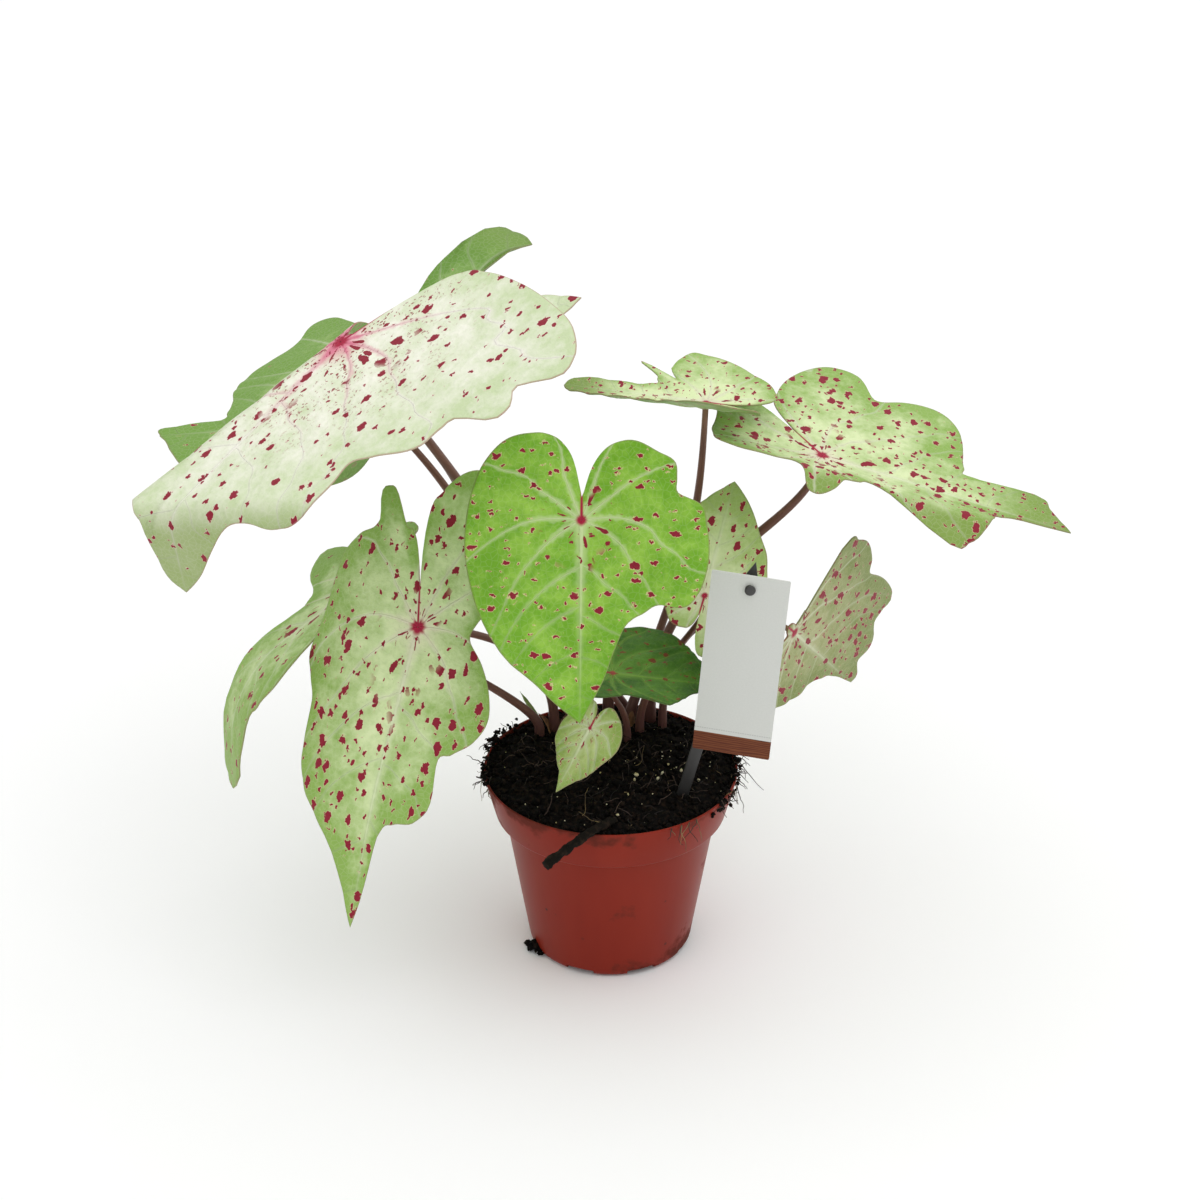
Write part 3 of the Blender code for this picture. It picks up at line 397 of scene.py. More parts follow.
# Painted shade: a leaf skin darkened all over, for the leaf that sits low in the middle of the plant.
SHADE_PAINTED_SKIN = Skin(
    "dark_leaf", "5f8f2c", "315e12", 0.6, 0.1, "2c5512", "8fb84e", 0.7, "6f9440", 0.2, "7c2a1c",
    0.85, "8a7434", 0.4, 5.2, 1.1, 0.6, (0.8, 1.0), 0.0, 0.0, "3c4a24", False,
)
SKINS = {
    "leaf_heart": GREEN_SKIN,
    "leaf_front_left": PALE_GREEN_SKIN,
    "leaf_left_narrow": PALE_GREEN_SKIN._replace(green_share=0.6, spotted=0.45, spot_size=1.5),
    "leaf_upper_left": WHITE_SKIN,
    "leaf_back_left": PALE_GREEN_SKIN._replace(
        pale="abc67a", green="759d42", green_share=0.7, spotted=0.12, spot_size=1.2, blush=0.1),
    "leaf_back_top": PALE_GREEN_SKIN._replace(
        pale="a8c67a", green="6a943a", green_share=0.65, spotted=0.06, spot_size=1.0, blush=0.1),
    "leaf_back_small": WHITE_SKIN._replace(stipple=0.0, spotted=0.1),
    # Painted shade over the last part of the tip, set by tip, on leaf_right and leaf_upper_middle.
    "leaf_right": PALE_GREEN_SKIN._replace(spot_size=2.2, spot_cell=6.8, squeeze=(1.0, 0.8), tip=0.8),
    "leaf_upper_middle": PALE_GREEN_SKIN._replace(
        spot_size=1.6, spot_cell=5.5, squeeze=(1.0, 0.8), green_share=0.35, tip=0.9),
    "leaf_behind_tag": PALE_GREEN_SKIN._replace(
        pale="dfe8b8", green="a9c272", green_share=0.5, spot_size=1.7, spot_cell=6.5),
    "leaf_low_right": PALE_GREEN_SKIN._replace(
        pale="b0b27e", green="82904c", green_share=0.5, spot_size=2.0, spot_cell=6.5, blush=0.2),
    "leaf_dark": SHADE_PAINTED_SKIN,
    "leaf_small_front": PALE_GREEN_SKIN._replace(
        pale="b9c880", green="8fa852", spot_size=0.55, spot_cell=3.0, green_share=0.5, blush=0.1),
}


def underside(skin):
    """The lower side of a skin: duller and greener, with raised veins and faint blotches."""
    return skin._replace(
        pale="a9c27c", green="83a65c", turned="83a65c", vein="c3d3a4", rose="b5c48f", red="8a4a44",
        red_share=0.3, ring=0.15, stipple=0.0, tip=0.0, under=True,
    )


# Shape of a blade and its petiole


def interpolated(table, angle):
    """A smooth curve through the table's points."""
    knots = np.array([row[0] for row in table], float)
    values = np.array([row[1] for row in table], float)
    slopes = np.gradient(values, knots)
    i = np.clip(np.searchsorted(knots, angle, side="right") - 1, 0, len(knots) - 2)
    step = knots[i + 1] - knots[i]
    t = (angle - knots[i]) / step
    return (
        (1 + 2 * t) * (1 - t) ** 2 * values[i]
        + t * (1 - t) ** 2 * step * slopes[i]
        + t * t * (3 - 2 * t) * values[i + 1]
        + t * t * (t - 1) * step * slopes[i + 1]
    )


def level(angle):
    """A level unit vector at an angle in radians."""
    return np.array([math.cos(angle), math.sin(angle), 0])


def bent(points, bend):
    """Points wrapped round a cylinder that starts at the bend's line."""
    way = level(math.radians(bend.across))
    down = 1 if bend.turn > 0 else -1
    turn = math.radians(abs(bend.turn))
    reach = (points - np.array([bend.x, bend.y, 0])) @ way
    height = points[:, 2] * down
    angle = np.clip(reach / bend.radius, 0, turn)
    beyond = np.maximum(reach - bend.radius * turn, 0)
    before = np.minimum(reach, 0)
    arm = bend.radius + height
    new_reach = before + arm * np.sin(angle) + beyond * np.cos(angle)
    new_height = arm * np.cos(angle) - bend.radius - beyond * np.sin(angle)
    made = points + np.outer(new_reach - reach, way)
    made[:, 2] = new_height * down
    return made


def heading_frame(heading, pitch, roll):
    """Rows: towards the tip, towards the left, and out of the upper face."""
    h, p, r = (math.radians(v) for v in (heading, pitch, roll))
    tip = np.array([math.cos(p) * math.cos(h), math.cos(p) * math.sin(h), math.sin(p)])
    left = np.array([-math.sin(h), math.cos(h), 0])
    face = np.cross(tip, left)
    aside = math.cos(r) * left + math.sin(r) * face
    return np.array([tip, aside, math.cos(r) * face - math.sin(r) * left])


def blade_surface(leaf, x, y):
    """The upper face over flat points (x, y), in millimetres."""
    height, waves, phase = leaf.ruffle
    far = np.hypot(x, y) / (0.6 * leaf.length)
    around = np.arctan2(y, x)
    z = height * far**2 * np.sin(waves * around + math.radians(phase))
    points = np.stack([x, y, z], -1)
    for bend in leaf.bends:
        points = bent(points, bend)
    return np.array(leaf.joint) + points @ heading_frame(leaf.heading, leaf.pitch, leaf.roll)


def blade_faces(leaf, x, y):
    """Upper face points and their unit normals."""
    step = 0.05
    here = blade_surface(leaf, x, y)
    along = blade_surface(leaf, x + step, y) - blade_surface(leaf, x - step, y)
    aside = blade_surface(leaf, x, y + step) - blade_surface(leaf, x, y - step)
    normal = np.cross(along, aside)
    return here, normal / np.linalg.norm(normal, axis=1)[:, None]


def petiole_path(leaf, count):
    """Middle line of the petiole from inside the peat to the blade's underside."""
    rise, square = leaf.reach
    face = heading_frame(leaf.heading, leaf.pitch, leaf.roll)[2]
    foot = np.array([leaf.root[0], leaf.root[1], POT_HEIGHT + PEAT_CROWN + PEAT_ROUGHNESS])
    top = np.array(leaf.joint) - (BLADE_THICKNESS + 1.5 * CLEARANCE) * face
    t = np.linspace(0, 1, count)[:, None]
    end = top - STRAIGHT_END * face
    points = foot, foot + rise * np.array([*leaf.lean, 1]), end - square * face, end
    weights = (1 - t) ** 3, 3 * t * (1 - t) ** 2, 3 * t**2 * (1 - t), t**3
    path = sum(w * p for w, p in zip(weights, points))
    return np.concatenate([[foot - (0, 0, PETIOLE_DEPTH)], path, [top]])


# Materials


def linear(colour):
    """An sRGB hex value as linear red, green, blue and full alpha."""
    parts = [int(colour[i : i + 2], 16) / 255 for i in (0, 2, 4)]
    made = [p / 12.92 if p <= 0.04045 else ((p + 0.055) / 1.055) ** 2.4 for p in parts]
    return (*made, 1.0)


def add(tree, kind, *values, out=0, **settings):
    """Adds a shader node and gives back one or more of its outputs. A second word of its kind is
    its operation. Values and links come in the order of its inputs, or by name in one dict."""
    kind, *operation = kind.split()
    made = tree.nodes.new("ShaderNode" + kind)
    for word in operation:
        made.operation = word
    for name, value in settings.items():
        setattr(made, name, value)
    by_name = values and isinstance(values[0], dict)
    for key, value in values[0].items() if by_name else enumerate(values):
        if isinstance(value, bpy.types.NodeSocket):
            tree.links.new(value, made.inputs[key])
        else:
            made.inputs[key].default_value = value
    return made.outputs[out] if made.outputs else None


def new_material(name):
    """An empty node material: a function that adds a node to it, and one that finishes it."""
    made = bpy.data.materials.new(name)
    made.use_nodes = True
    made.node_tree.nodes.clear()
    node = partial(add, made.node_tree)

    def finish(base, layers, inputs, relief=(), sunk=False):
        """Lays colours over the base, each where its mask says. A relief is its height's pattern,
        its strength, and its depth in millimetres."""
        colour = linear(base)
        for mask, over in layers:
            over = linear(over) if isinstance(over, str) else over
            colour = node("Mix", {0: mask, 6: colour, 7: over}, data_type="RGBA", out=2)
        inputs = {"Base Color": colour, **inputs}
        if relief:
            height, strength, depth = relief
            bump = {"Height": height, "Strength": strength, "Distance": depth * MM}
            inputs["Normal"] = node("Bump", bump, invert=sunk)
        surface = node("BsdfPrincipled", inputs)
        node("OutputMaterial", {"Surface": surface})
        return made

    return node, finish


def falling(value, near, far, top=1.0):
    """Inputs of a mask that falls from top where the value is near to nothing where it is far."""
    return {"Value": value, "From Min": near, "From Max": far, "To Min": top, "To Max": 0.0}


def spots(node, place, cell, filled, largest):
    """Mask of blotches strewn a cell apart, how far inside its blotch a point is, and the
    blotch's radius, both as shares of the cell."""
    grid = {"Vector": place, "Scale": 1 / cell}
    distance, chance = node("TexVoronoi", grid, out=slice(2), voronoi_dimensions="2D")
    chance = node("SeparateXYZ", chance)
    radius = node("MapRange", chance, 1 - filled, 1.0, 0.0, largest / cell)
    inside = node("Math SUBTRACT", radius, distance)
    blotch = node("MapRange", falling(inside, SPOT_EDGE / cell, 0.0), **SMOOTH)
    return blotch, inside, radius


def ringed_spots(node, place, cell, filled, largest):
    """Masks of blotches and of the rings round them."""
    blotch, inside, radius = spots(node, place, cell, filled, largest)
    ring = node("MapRange", falling(inside, 0.0, -SPOT_RING / cell), **SMOOTH)
    there = node("MapRange", falling(radius, SPOT_RING / cell, 0.0), **SMOOTH)
    return blotch, node("Math MULTIPLY", ring, there)


def vein_masks(node, veins, share, fleck):
    """Masks of the raised veins, and of the pale tissue that feathers out from them."""
    count, spacing, rib = node("SeparateXYZ", veins, out=slice(3))
    part = node("Math ADD", count, 0.5)
    part = node("Math FRACT", part)
    part = node("Math SUBTRACT", part, 0.5)
    part = node("Math ABSOLUTE", part)
    aside = node("Math MULTIPLY", part, spacing)
    width = node("MapRange", share, 0.0, 1.0, SIDE_VEIN, 0.35 * SIDE_VEIN)
    side_vein = node("MapRange", falling(aside, 0.0, width), **SMOOTH)
    wide = node("Math MULTIPLY_ADD", fleck, 16.0, -3.4)
    wide = node("Math MULTIPLY", wide, width)
    side_glow = node("MapRange", falling(aside, 0.0, wide, 0.6), **SMOOTH)
    width = node("MapRange", share, 0.0, 1.0, MIDRIB, 0.2 * MIDRIB)
    midrib = node("MapRange", falling(rib, 0.3, width), **SMOOTH)
    wide = node("Math MULTIPLY", fleck, 6.5)
    wide = node("Math MULTIPLY", wide, width)
    rib_glow = node("MapRange", falling(rib, 0.0, wide, 0.6), **SMOOTH)
    raised = node("Math MAXIMUM", side_vein, midrib)
    glow = node("Math MAXIMUM", side_glow, rib_glow)
    return raised, glow


def leaf_skin(name, skin):
    """Leaf tissue, grown: pale veins with a soft glow, mottled green between them, and crimson
    blotches in pale rings, thickest round the joint and along the sinus. Painted shade darkens the
    parts that fold down and the last part of the tip."""
    node, finish = new_material(name)
    marks = ("flat", "polar", "vein", "border", "away")
    marks = [node("Attribute", attribute_name=mark, out="Vector") for mark in marks]
    place, polar, veins, border, away = marks
    share = node("SeparateXYZ", polar, out=2)
    sinus, edge, fold_shade = node("SeparateXYZ", border, out=slice(3))
    reach, onward = node("SeparateXYZ", away, out=slice(2))

    cloud = node("TexNoise", {"Vector": place, "Scale": 1 / CLOUD, "Detail": 3.0})
    fleck = node("TexNoise", {"Vector": place, "Scale": 1 / FLECK, "Detail": 4.0})
    green = node("Math MULTIPLY_ADD", fleck, 0.45, cloud)
    rim = node("Math POWER", share, 3.0)
    green = node("Math MULTIPLY_ADD", rim, skin.margin, green)
    green = node("MapRange", green, 1.05 - skin.green_share, 1.6 - skin.green_share)
    # Painted shade: the last part of the tip and the parts that fold down are darkened towards the turned
    # colour.
    shaded = node("MapRange", falling(onward, 0.9, 0.56, skin.tip), **SMOOTH)
    shaded = node("Math MULTIPLY_ADD", fold_shade, 0.8, shaded, use_clamp=True)

    raised, glow = vein_masks(node, veins, share, fleck)
    mesh = {"Vector": place, "Scale": 1 / NET}
    mesh = node("TexVoronoi", mesh, voronoi_dimensions="2D", feature="DISTANCE_TO_EDGE")
    net = node("MapRange", falling(mesh, 0.0, 0.12, 0.1), **SMOOTH)
    pale = node("Math MAXIMUM", raised, glow)
    fainter = node("MapRange", falling(onward, 0.0, 1.1, skin.vein_share))
    pale = node("Math MULTIPLY", pale, fainter)
    pale = node("Math MAXIMUM", pale, net)
    near = node("MapRange", falling(reach, 0.0, 0.12, skin.blush), **SMOOTH)
    along = node("MapRange", falling(reach, 0.1, 0.42, skin.blush), **SMOOTH)
    near = node("Math MULTIPLY_ADD", along, glow, near, use_clamp=True)

    ragged = node("TexNoise", {"Vector": place, "Scale": 1 / RAGGED, "Detail": 2.5}, out="Color")
    ragged = node("VectorMath SUBTRACT", ragged, (0.5, 0.5, 0.5))
    squeezed = node("VectorMath MULTIPLY", place, (*skin.squeeze, 0.0))
    moved = node("VectorMath MULTIPLY_ADD", ragged, (RAGGED * 1.6,) * 3, squeezed)
    spoke = node("VectorMath MULTIPLY", polar, (0.34, 1.0, 0.0))
    spoke = node("VectorMath MULTIPLY_ADD", ragged, (RAGGED * 0.8,) * 3, spoke)
    rule = (skin.spot_cell, skin.spotted, skin.spot_size)
    big, big_ring = ringed_spots(node, moved, *rule)
    small, small_ring = ringed_spots(node, moved, *[0.5 * value for value in rule])
    streak = spots(node, spoke, 3.8, 0.9 * skin.spotted, 1.4)[0]
    inner = node("MapRange", falling(share, 0.28, 0.4), **SMOOTH)
    outer = node("Math SUBTRACT", 1.0, inner)
    streak = node("Math MULTIPLY", streak, inner)
    big = node("Math MULTIPLY_ADD", big, outer, streak)
    blotch = node("Math MAXIMUM", big, small)
    blotch = node("Math MULTIPLY", blotch, skin.red_share)
    ring = node("Math MAXIMUM", big_ring, small_ring)
    ring = node("Math MULTIPLY", ring, outer)
    ring = node("Math MULTIPLY", ring, skin.ring)
    line = node("MapRange", falling(sinus, 0.3, 1.0, skin.red_share), **SMOOTH)
    star = node("Math MULTIPLY_ADD", glow, -0.025, reach)
    star = node("MapRange", falling(star, 0.0, 0.022, skin.red_share), **SMOOTH)
    line = node("Math MAXIMUM", line, star)
    hem = node("MapRange", falling(edge, 0.2, 0.8, 0.6), **SMOOTH)

    layers = [(green, skin.green), (shaded, skin.turned), (pale, skin.vein), (near, skin.rose)]
    layers.append((ring, skin.halo))
    if skin.stipple:
        dots = spots(node, moved, 1.7, 0.85, 0.62)[0]
        veil = node("MapRange", falling(reach, 0.12, 0.55, skin.stipple), **SMOOTH)
        patch = node("MapRange", cloud, 0.4, 0.52)
        veil = node("Math MULTIPLY", veil, patch)
        veil = node("Math MULTIPLY", veil, dots)
        layers.append((veil, skin.red))
    layers += [(blotch, skin.red), (line, CRIMSON), (hem, skin.hem)]
    rough = node("MapRange", cloud, 0.0, 1.0, 0.45, 0.62)
    height = node("Math MULTIPLY_ADD", fleck, -3.0, raised)
    surface = {"Roughness": rough, "Specular IOR Level": 0.3}
    return finish(skin.pale, layers, surface, (height, 0.6, VEIN_DEPTH), sunk=not skin.under)


def petiole_skin():
    """Petiole, grown: smooth and a little glossy, brown-purple with fine streaks along it,
    paler just under the blade and darker at the peat."""
    node, finish = new_material("petiole_skin")
    run = node("Attribute", attribute_name="run", out="Vector")
    lengths = node("SeparateXYZ", run, out=slice(3))
    stretched = node("VectorMath MULTIPLY", run, (0.03, 7.0, 0.0))
    streak = node("TexNoise", {"Vector": stretched, "Scale": 1.0, "Detail": 3.0})
    top = node("MapRange", falling(lengths[2], 2.0, 22.0, 0.55), **SMOOTH)
    foot = node("MapRange", falling(lengths[0], PETIOLE_DEPTH + 2, PETIOLE_DEPTH + 16, 0.6), **SMOOTH)
    layers = ((streak, "8c6254"), (top, "a07a62"), (foot, "5c3a3c"))
    surface = {"Roughness": 0.42, "Specular IOR Level": 0.3}
    return finish("4c2c27", layers, surface, (streak, 0.4, 0.2))


def polypropylene():
    """Polypropylene, injection-moulded: satin terracotta colour, faint upright flow lines, fine
    scuffs, and dried potting mix smeared under the lip and near the foot."""
    node, finish = new_material("moulded_polypropylene")
    place = node("TexCoord", out="Object")
    height = node("SeparateXYZ", place, out=2)
    flow = node("VectorMath MULTIPLY", place, (1.0, 1.0, 0.12))
    flow = node("TexNoise", {"Vector": flow, "Scale": 60.0, "Detail": 4.0})
    cloud = node("TexNoise", {"Vector": place, "Scale": 38.0, "Detail": 5.0, "Roughness": 0.65})
    lip = falling(height, (POT_HEIGHT - 1) * MM, (POT_HEIGHT - 16) * MM, 0.17)
    lip = node("MapRange", lip, **SMOOTH)
    foot = node("MapRange", falling(height, 0.0, 14 * MM, 0.16), **SMOOTH)
    limit = node("Math SUBTRACT", 0.72, lip)
    limit = node("Math SUBTRACT", limit, foot)
    clean = node("Math SUBTRACT", limit, 0.1)
    smear = node("MapRange", cloud, clean, limit, 0.0, 0.6)
    distance, chance = node("TexVoronoi", {"Vector": place, "Scale": 230.0}, out=slice(2))
    chance = node("SeparateXYZ", chance)
    chance = node("MapRange", falling(chance, 1.0, 0.93), **SMOOTH)
    grain = node("MapRange", falling(distance, 0.12, 0.24), **SMOOTH)
    grain = node("Math MULTIPLY", grain, chance)
    rough = node("Math MULTIPLY_ADD", smear, 0.6, 0.36)
    layers = ((flow, "8b2b1b"), (smear, "3a2219"), (grain, "2a1a14"))
    surface = {"Roughness": rough, "Specular IOR Level": 0.12}
    return finish("7a2013", layers, surface, (flow, 0.12, 0.3))


def crumbly(name, dark, brown, grain):
    """Peat and bark crumbs, milled: matt, nearly black when damp, with brown fibres and grains."""
    node, finish = new_material(name)
    place = node("TexCoord", out="Object")
    cloud = node("TexNoise", {"Vector": place, "Scale": 1 / (grain * MM), "Detail": 6.0})
    brownish = node("MapRange", cloud, 0.5, 0.78)
    fine = node("TexNoise", {"Vector": place, "Scale": 4 / (grain * MM), "Detail": 3.0})
    surface = {"Roughness": 0.95, "Specular IOR Level": 0.1}
    return finish(dark, [(brownish, brown)], surface, (fine, 0.8, 0.5))


def tinted(name, colours, roughness, grain):
    """Small loose matter: each piece takes its tint from where it lies."""
    node, finish = new_material(name)
    place = node("TexCoord", out="Object")
    cloud = node("TexNoise", {"Vector": place, "Scale": 1 / (grain * MM), "Detail": 4.0})
    tint = node("MapRange", cloud, 0.35, 0.65)
    return finish(colours[0], [(tint, colours[1])], {"Roughness": roughness}, (cloud, 0.5, 0.2))


def printed_card():
    """Uncoated card, printed: off-white with faint pulp flecks, a wood-grain strip along its
    lower edge and a pressed dotted crease above the strip, its dots darkened with painted shade."""
    node, finish = new_material("printed_card")
    place = node("Attribute", attribute_name="sheet", out="Vector")
    across, up = node("SeparateXYZ", place, out=slice(2))
    pulp = node("TexNoise", {"Vector": place, "Scale": 1.2, "Detail": 5.0})
    long = node("VectorMath MULTIPLY", place, (0.12, 1.0, 1.0))
    bent_grain = node("TexNoise", {"Vector": long, "Scale": 0.35, "Detail": 2.0}, out="Color")
    long = node("VectorMath MULTIPLY_ADD", bent_grain, (3.0,) * 3, long)
    rings = {"Vector": long, "Scale": 0.28, "Distortion": 1.5, "Detail": 3.0}
    rings = node("TexWave", rings, bands_direction="Y", out="Color")
    wood = node("Mix", {0: rings, 6: linear("58291a"), 7: linear("7c462a")}, data_type="RGBA", out=2)
    below = node("MapRange", falling(up, STRIP_HEIGHT - 0.1, STRIP_HEIGHT + 0.1), **SMOOTH)
    off = node("Math SUBTRACT", up, CREASE_HEIGHT)
    off = node("Math ABSOLUTE", off)
    line = node("MapRange", falling(off, 0.1, 0.3), **SMOOTH)
    dot = node("Math MODULO", across, 1.1)
    dot = node("Math ABSOLUTE", dot)
    dot = node("MapRange", falling(dot, 0.75, 0.85), **SMOOTH)
    crease = node("Math MULTIPLY", line, dot)
    # Painted shade: the dots of the pressed crease are darkened.
    shade = node("Math MULTIPLY", crease, 0.5)
    height = node("Math MULTIPLY_ADD", crease, -3.0, pulp)
    layers = ((pulp, "d9dad6"), (below, wood), (shade, "9a9b98"))
    surface = {"Roughness": 0.68, "Specular IOR Level": 0.25}
    return finish("cfd1cc", layers, surface, (height, 0.25, 0.1))


def black_polystyrene():
    """Polystyrene, moulded: black, fairly glossy, with dust."""
    node, finish = new_material("moulded_black_polystyrene")
    place = node("TexCoord", out="Object")
    dust = node("TexNoise", {"Vector": place, "Scale": 150.0, "Detail": 5.0})
    rough = node("MapRange", dust, 0.0, 1.0, 0.3, 0.6)
    return finish("1b1c1d", [(dust, "3c3a38")], {"Roughness": rough, "IOR": 1.59})


# Meshes


def new_piece(name, points, faces):
    """A mesh object from millimetre points."""
    mesh = bpy.data.meshes.new(name)
    mesh.from_pydata((np.asarray(points, float) * MM).tolist(), [], faces)
    made = bpy.data.objects.new(name, mesh)
    bpy.context.collection.objects.link(made)
    return made


def place_mesh(name, points, faces, materials, attributes=None, slots=None):
    """A smooth mesh object from millimetre points that rides on the pot."""
    made = new_piece(name, points, faces)
    mesh = made.data
    for item in materials:
        mesh.materials.append(item)
    if slots is not None:
        mesh.polygons.foreach_set("material_index", slots)
    for key, values in (attributes or {}).items():
        layer = mesh.attributes.new(key, "FLOAT_VECTOR", "POINT")
        layer.data.foreach_set("vector", np.asarray(values, np.float32).ravel())
    mesh.polygons.foreach_set("use_smooth", [True] * len(mesh.polygons))
    mesh.update()
    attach(made, "root")
    return made


# Leaves


def margin_angles(leaf, count):
    """Angles from the sinus's left end over the tip to its right end, closer at the tip."""
    knots = np.array([0, 0.05, 0.14, 0.5, 0.74, 0.86, 1.0])
    places = np.array([0, 4, 14, 75, 130, 158, 180.0]) / 180
    side = np.interp(np.arange(0, count // 2 + 1) / (count // 2), knots, places)
    left, right = (table[-1][0] for table in leaf.sides)
    return np.concatenate([(side * left)[::-1], -side[1:] * right])


def margin(leaf, angle):
    """Flat (x, y) of the margin at angles from the tip, positive on the left."""
    left, right = leaf.sides
    on_left = interpolated(left, np.maximum(angle, 0))
    on_right = interpolated(right, np.maximum(-angle, 0))
    share = np.where(angle >= 0, on_left, on_right)
    a = np.radians(angle)
    return leaf.length * share * np.cos(a), leaf.length * share * np.sin(a) * leaf.breadth


def vein_field(leaf, x, y):
    """A smooth field that is a whole number along each side vein."""
    across = np.abs(y) / leaf.breadth
    lean = across * (VEIN_LEAN + VEIN_CURL * (across / leaf.length) ** 2)
    start = x - lean
    first = np.arctan2(across, lean + 1e-6)
    widest = math.pi - math.atan2(1, VEIN_LEAN)
    turned = (np.arctan2(across, x) - first) / (math.pi - first) * widest
    ahead = start / (leaf.length * VEIN_SPACING)
    behind = -turned / math.radians(VEIN_FAN)
    far = np.clip(np.hypot(x, y) / (0.3 * leaf.length), 0, 1)
    wave = 0.14 * far * np.sin(0.07 * x + 0.05 * y + 1.7 * np.sign(y))
    wave = wave + 0.03 * far * np.sin(0.31 * x + 0.23 * y)
    return np.where(start >= 0, ahead, behind) + wave


def leaf_points(leaf, x, y):
    """The blade's upper face, swollen between its veins, and its normals."""
    swell = np.abs((vein_field(leaf, x, y) + 0.5) % 1 - 0.5) * 2
    far = np.clip(np.hypot(x, y) / (0.25 * leaf.length), 0, 1)
    rib = np.clip(np.abs(y) / 6, 0, 1)
    here, normal = blade_faces(leaf, x, y)
    rise = QUILT * far * rib * np.sin(swell * math.pi / 2)
    return here + normal * rise[:, None], normal


def vein_marks(leaf, x, y):
    """Side veins' count, the width of one count there, and the distance to the midrib."""
    step = 0.2
    along = (vein_field(leaf, x + step, y) - vein_field(leaf, x - step, y)) / (2 * step)
    aside = (vein_field(leaf, x, y + step) - vein_field(leaf, x, y - step)) / (2 * step)
    width = 1 / np.maximum(np.hypot(along, aside), 0.02)
    rib = np.hypot(y, np.minimum(x, 0))
    return np.stack([vein_field(leaf, x, y), np.minimum(width, 40), rib], -1)


def border_marks(leaf, x, y, angle, share):
    """Distance to the crimson line from joint to sinus and along its margins, distance to the
    margin, and how strongly painted shade darkens the parts where the blade is folded down."""
    reach = np.hypot(x, y)
    edge = reach * (1 / np.maximum(share, 0.01) - 1)
    ends = [table[-1][0] for table in leaf.sides]
    from_cut = np.radians(np.where(angle >= 0, ends[0] - angle, ends[1] + angle))
    seam = reach * np.sin(np.clip(from_cut, 0, math.pi / 2))
    lip = np.where(from_cut < math.radians(SINUS_FAN), edge, 9.0)
    gone = np.clip(reach / (SINUS_REACH * leaf.length), 0, 1) ** 2
    fold_shade = np.zeros(len(x))
    for bend in leaf.bends:
        a = math.radians(bend.across)
        beyond = (x - bend.x) * math.cos(a) + (y - bend.y) * math.sin(a)
        whole = bend.radius * math.radians(abs(bend.turn))
        strength = min(max(bend.turn, 0) / 45, 1) * min(20 / bend.radius, 1)
        fold_shade = np.maximum(fold_shade, np.clip(beyond / whole, 0, 1) * strength)
    return np.stack([np.minimum(seam, lip) + 2 * gone, edge, fold_shade], -1)


def add_leaf(number, leaf):
    """The blade as a thin closed sheet with a rounded margin, its upper side in the first slot."""
    spokes, rings = leaf.mesh
    angle = margin_angles(leaf, spokes)
    spokes = len(angle)
    mx, my = margin(leaf, angle)
    reach = np.hypot(mx, my)
    inner = np.concatenate([[0.004], np.linspace(0.035, 1, rings - 1)])
    shares = np.broadcast_to(inner[:, None], (rings, spokes)).copy()
    shares[-1] = 1 - 0.4 * BLADE_THICKNESS / np.maximum(reach, 3)
    x = (shares * mx).ravel()
    y = (shares * my).ravel()
    top, normal = leaf_points(leaf, x, y)
    edge, edge_normal = leaf_points(leaf, mx, my)
    under = top - BLADE_THICKNESS * normal
    points = np.concatenate([top, under, edge - BLADE_THICKNESS / 2 * edge_normal])
    size = rings * spokes
    faces, slots = [], []
    for ring in range(rings - 1):
        for i in range(spokes - 1):
            a = ring * spokes + i
            b = a + size
            faces.append((a, a + spokes, a + spokes + 1, a + 1))
            faces.append((b, b + 1, b + spokes + 1, b + spokes))
            slots += [0, 1]
    for i in range(spokes - 1):
        a, b, c = size - spokes + i, 2 * size + i, 2 * size - spokes + i
        faces.append((a, b, b + 1, a + 1))
        faces.append((b, c, c + 1, b + 1))
        slots += [0, 1]
    fx = np.concatenate([x, x, mx])
    fy = np.concatenate([y, y, my])
    share = np.concatenate([shares.ravel(), shares.ravel(), np.ones(spokes)])
    turn = np.concatenate([np.tile(angle, 2 * rings), angle])
    apart = number * BLADES_APART
    attributes = {
        "flat": np.stack([fx + apart, fy, np.zeros(len(fx))], -1),
        "polar": np.stack([np.hypot(fx, fy), np.radians(turn) * ROUND_SCALE + apart, share], -1),
        "vein": vein_marks(leaf, fx, fy),
        "border": border_marks(leaf, fx, fy, turn, share),
        "away": np.stack([np.hypot(fx, fy), np.maximum(fx, 0), np.zeros(len(fx))], -1) / leaf.length,
    }
    skin = SKINS[leaf.name]
    label = skin.name + leaf.name[4:]
    materials = [leaf_skin(label, skin), leaf_skin(label + "_underside", underside(skin))]
    made = place_mesh(leaf.name + "_blade", points, faces, materials, attributes, slots)
    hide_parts(leaf.name)


def tube(path, radii, sides):
    """Points and faces of a tube with flat ends along a path."""
    tangents = np.gradient(path, axis=0)
    tangents[-2] = tangents[-1]
    tangents /= np.linalg.norm(tangents, axis=1)[:, None]
    side = np.array([0.8, 0.6, 0.0])
    angles = np.arange(sides) * 2 * math.pi / sides
    points = []
    for centre, tangent, radius in zip(path, tangents, radii):
        side = side - (side @ tangent) * tangent
        side /= np.linalg.norm(side)
        other = np.cross(tangent, side)
        for a in angles:
            points.append(centre + radius * (math.cos(a) * side + math.sin(a) * other))
    faces = [tuple(range(sides))[::-1], tuple(range(len(points) - sides, len(points)))]
    for ring in range(len(path) - 1):
        for i in range(sides):
            a, b = ring * sides + i, ring * sides + (i + 1) % sides
            faces.append((a, b, b + sides, a + sides))
    return np.array(points), faces


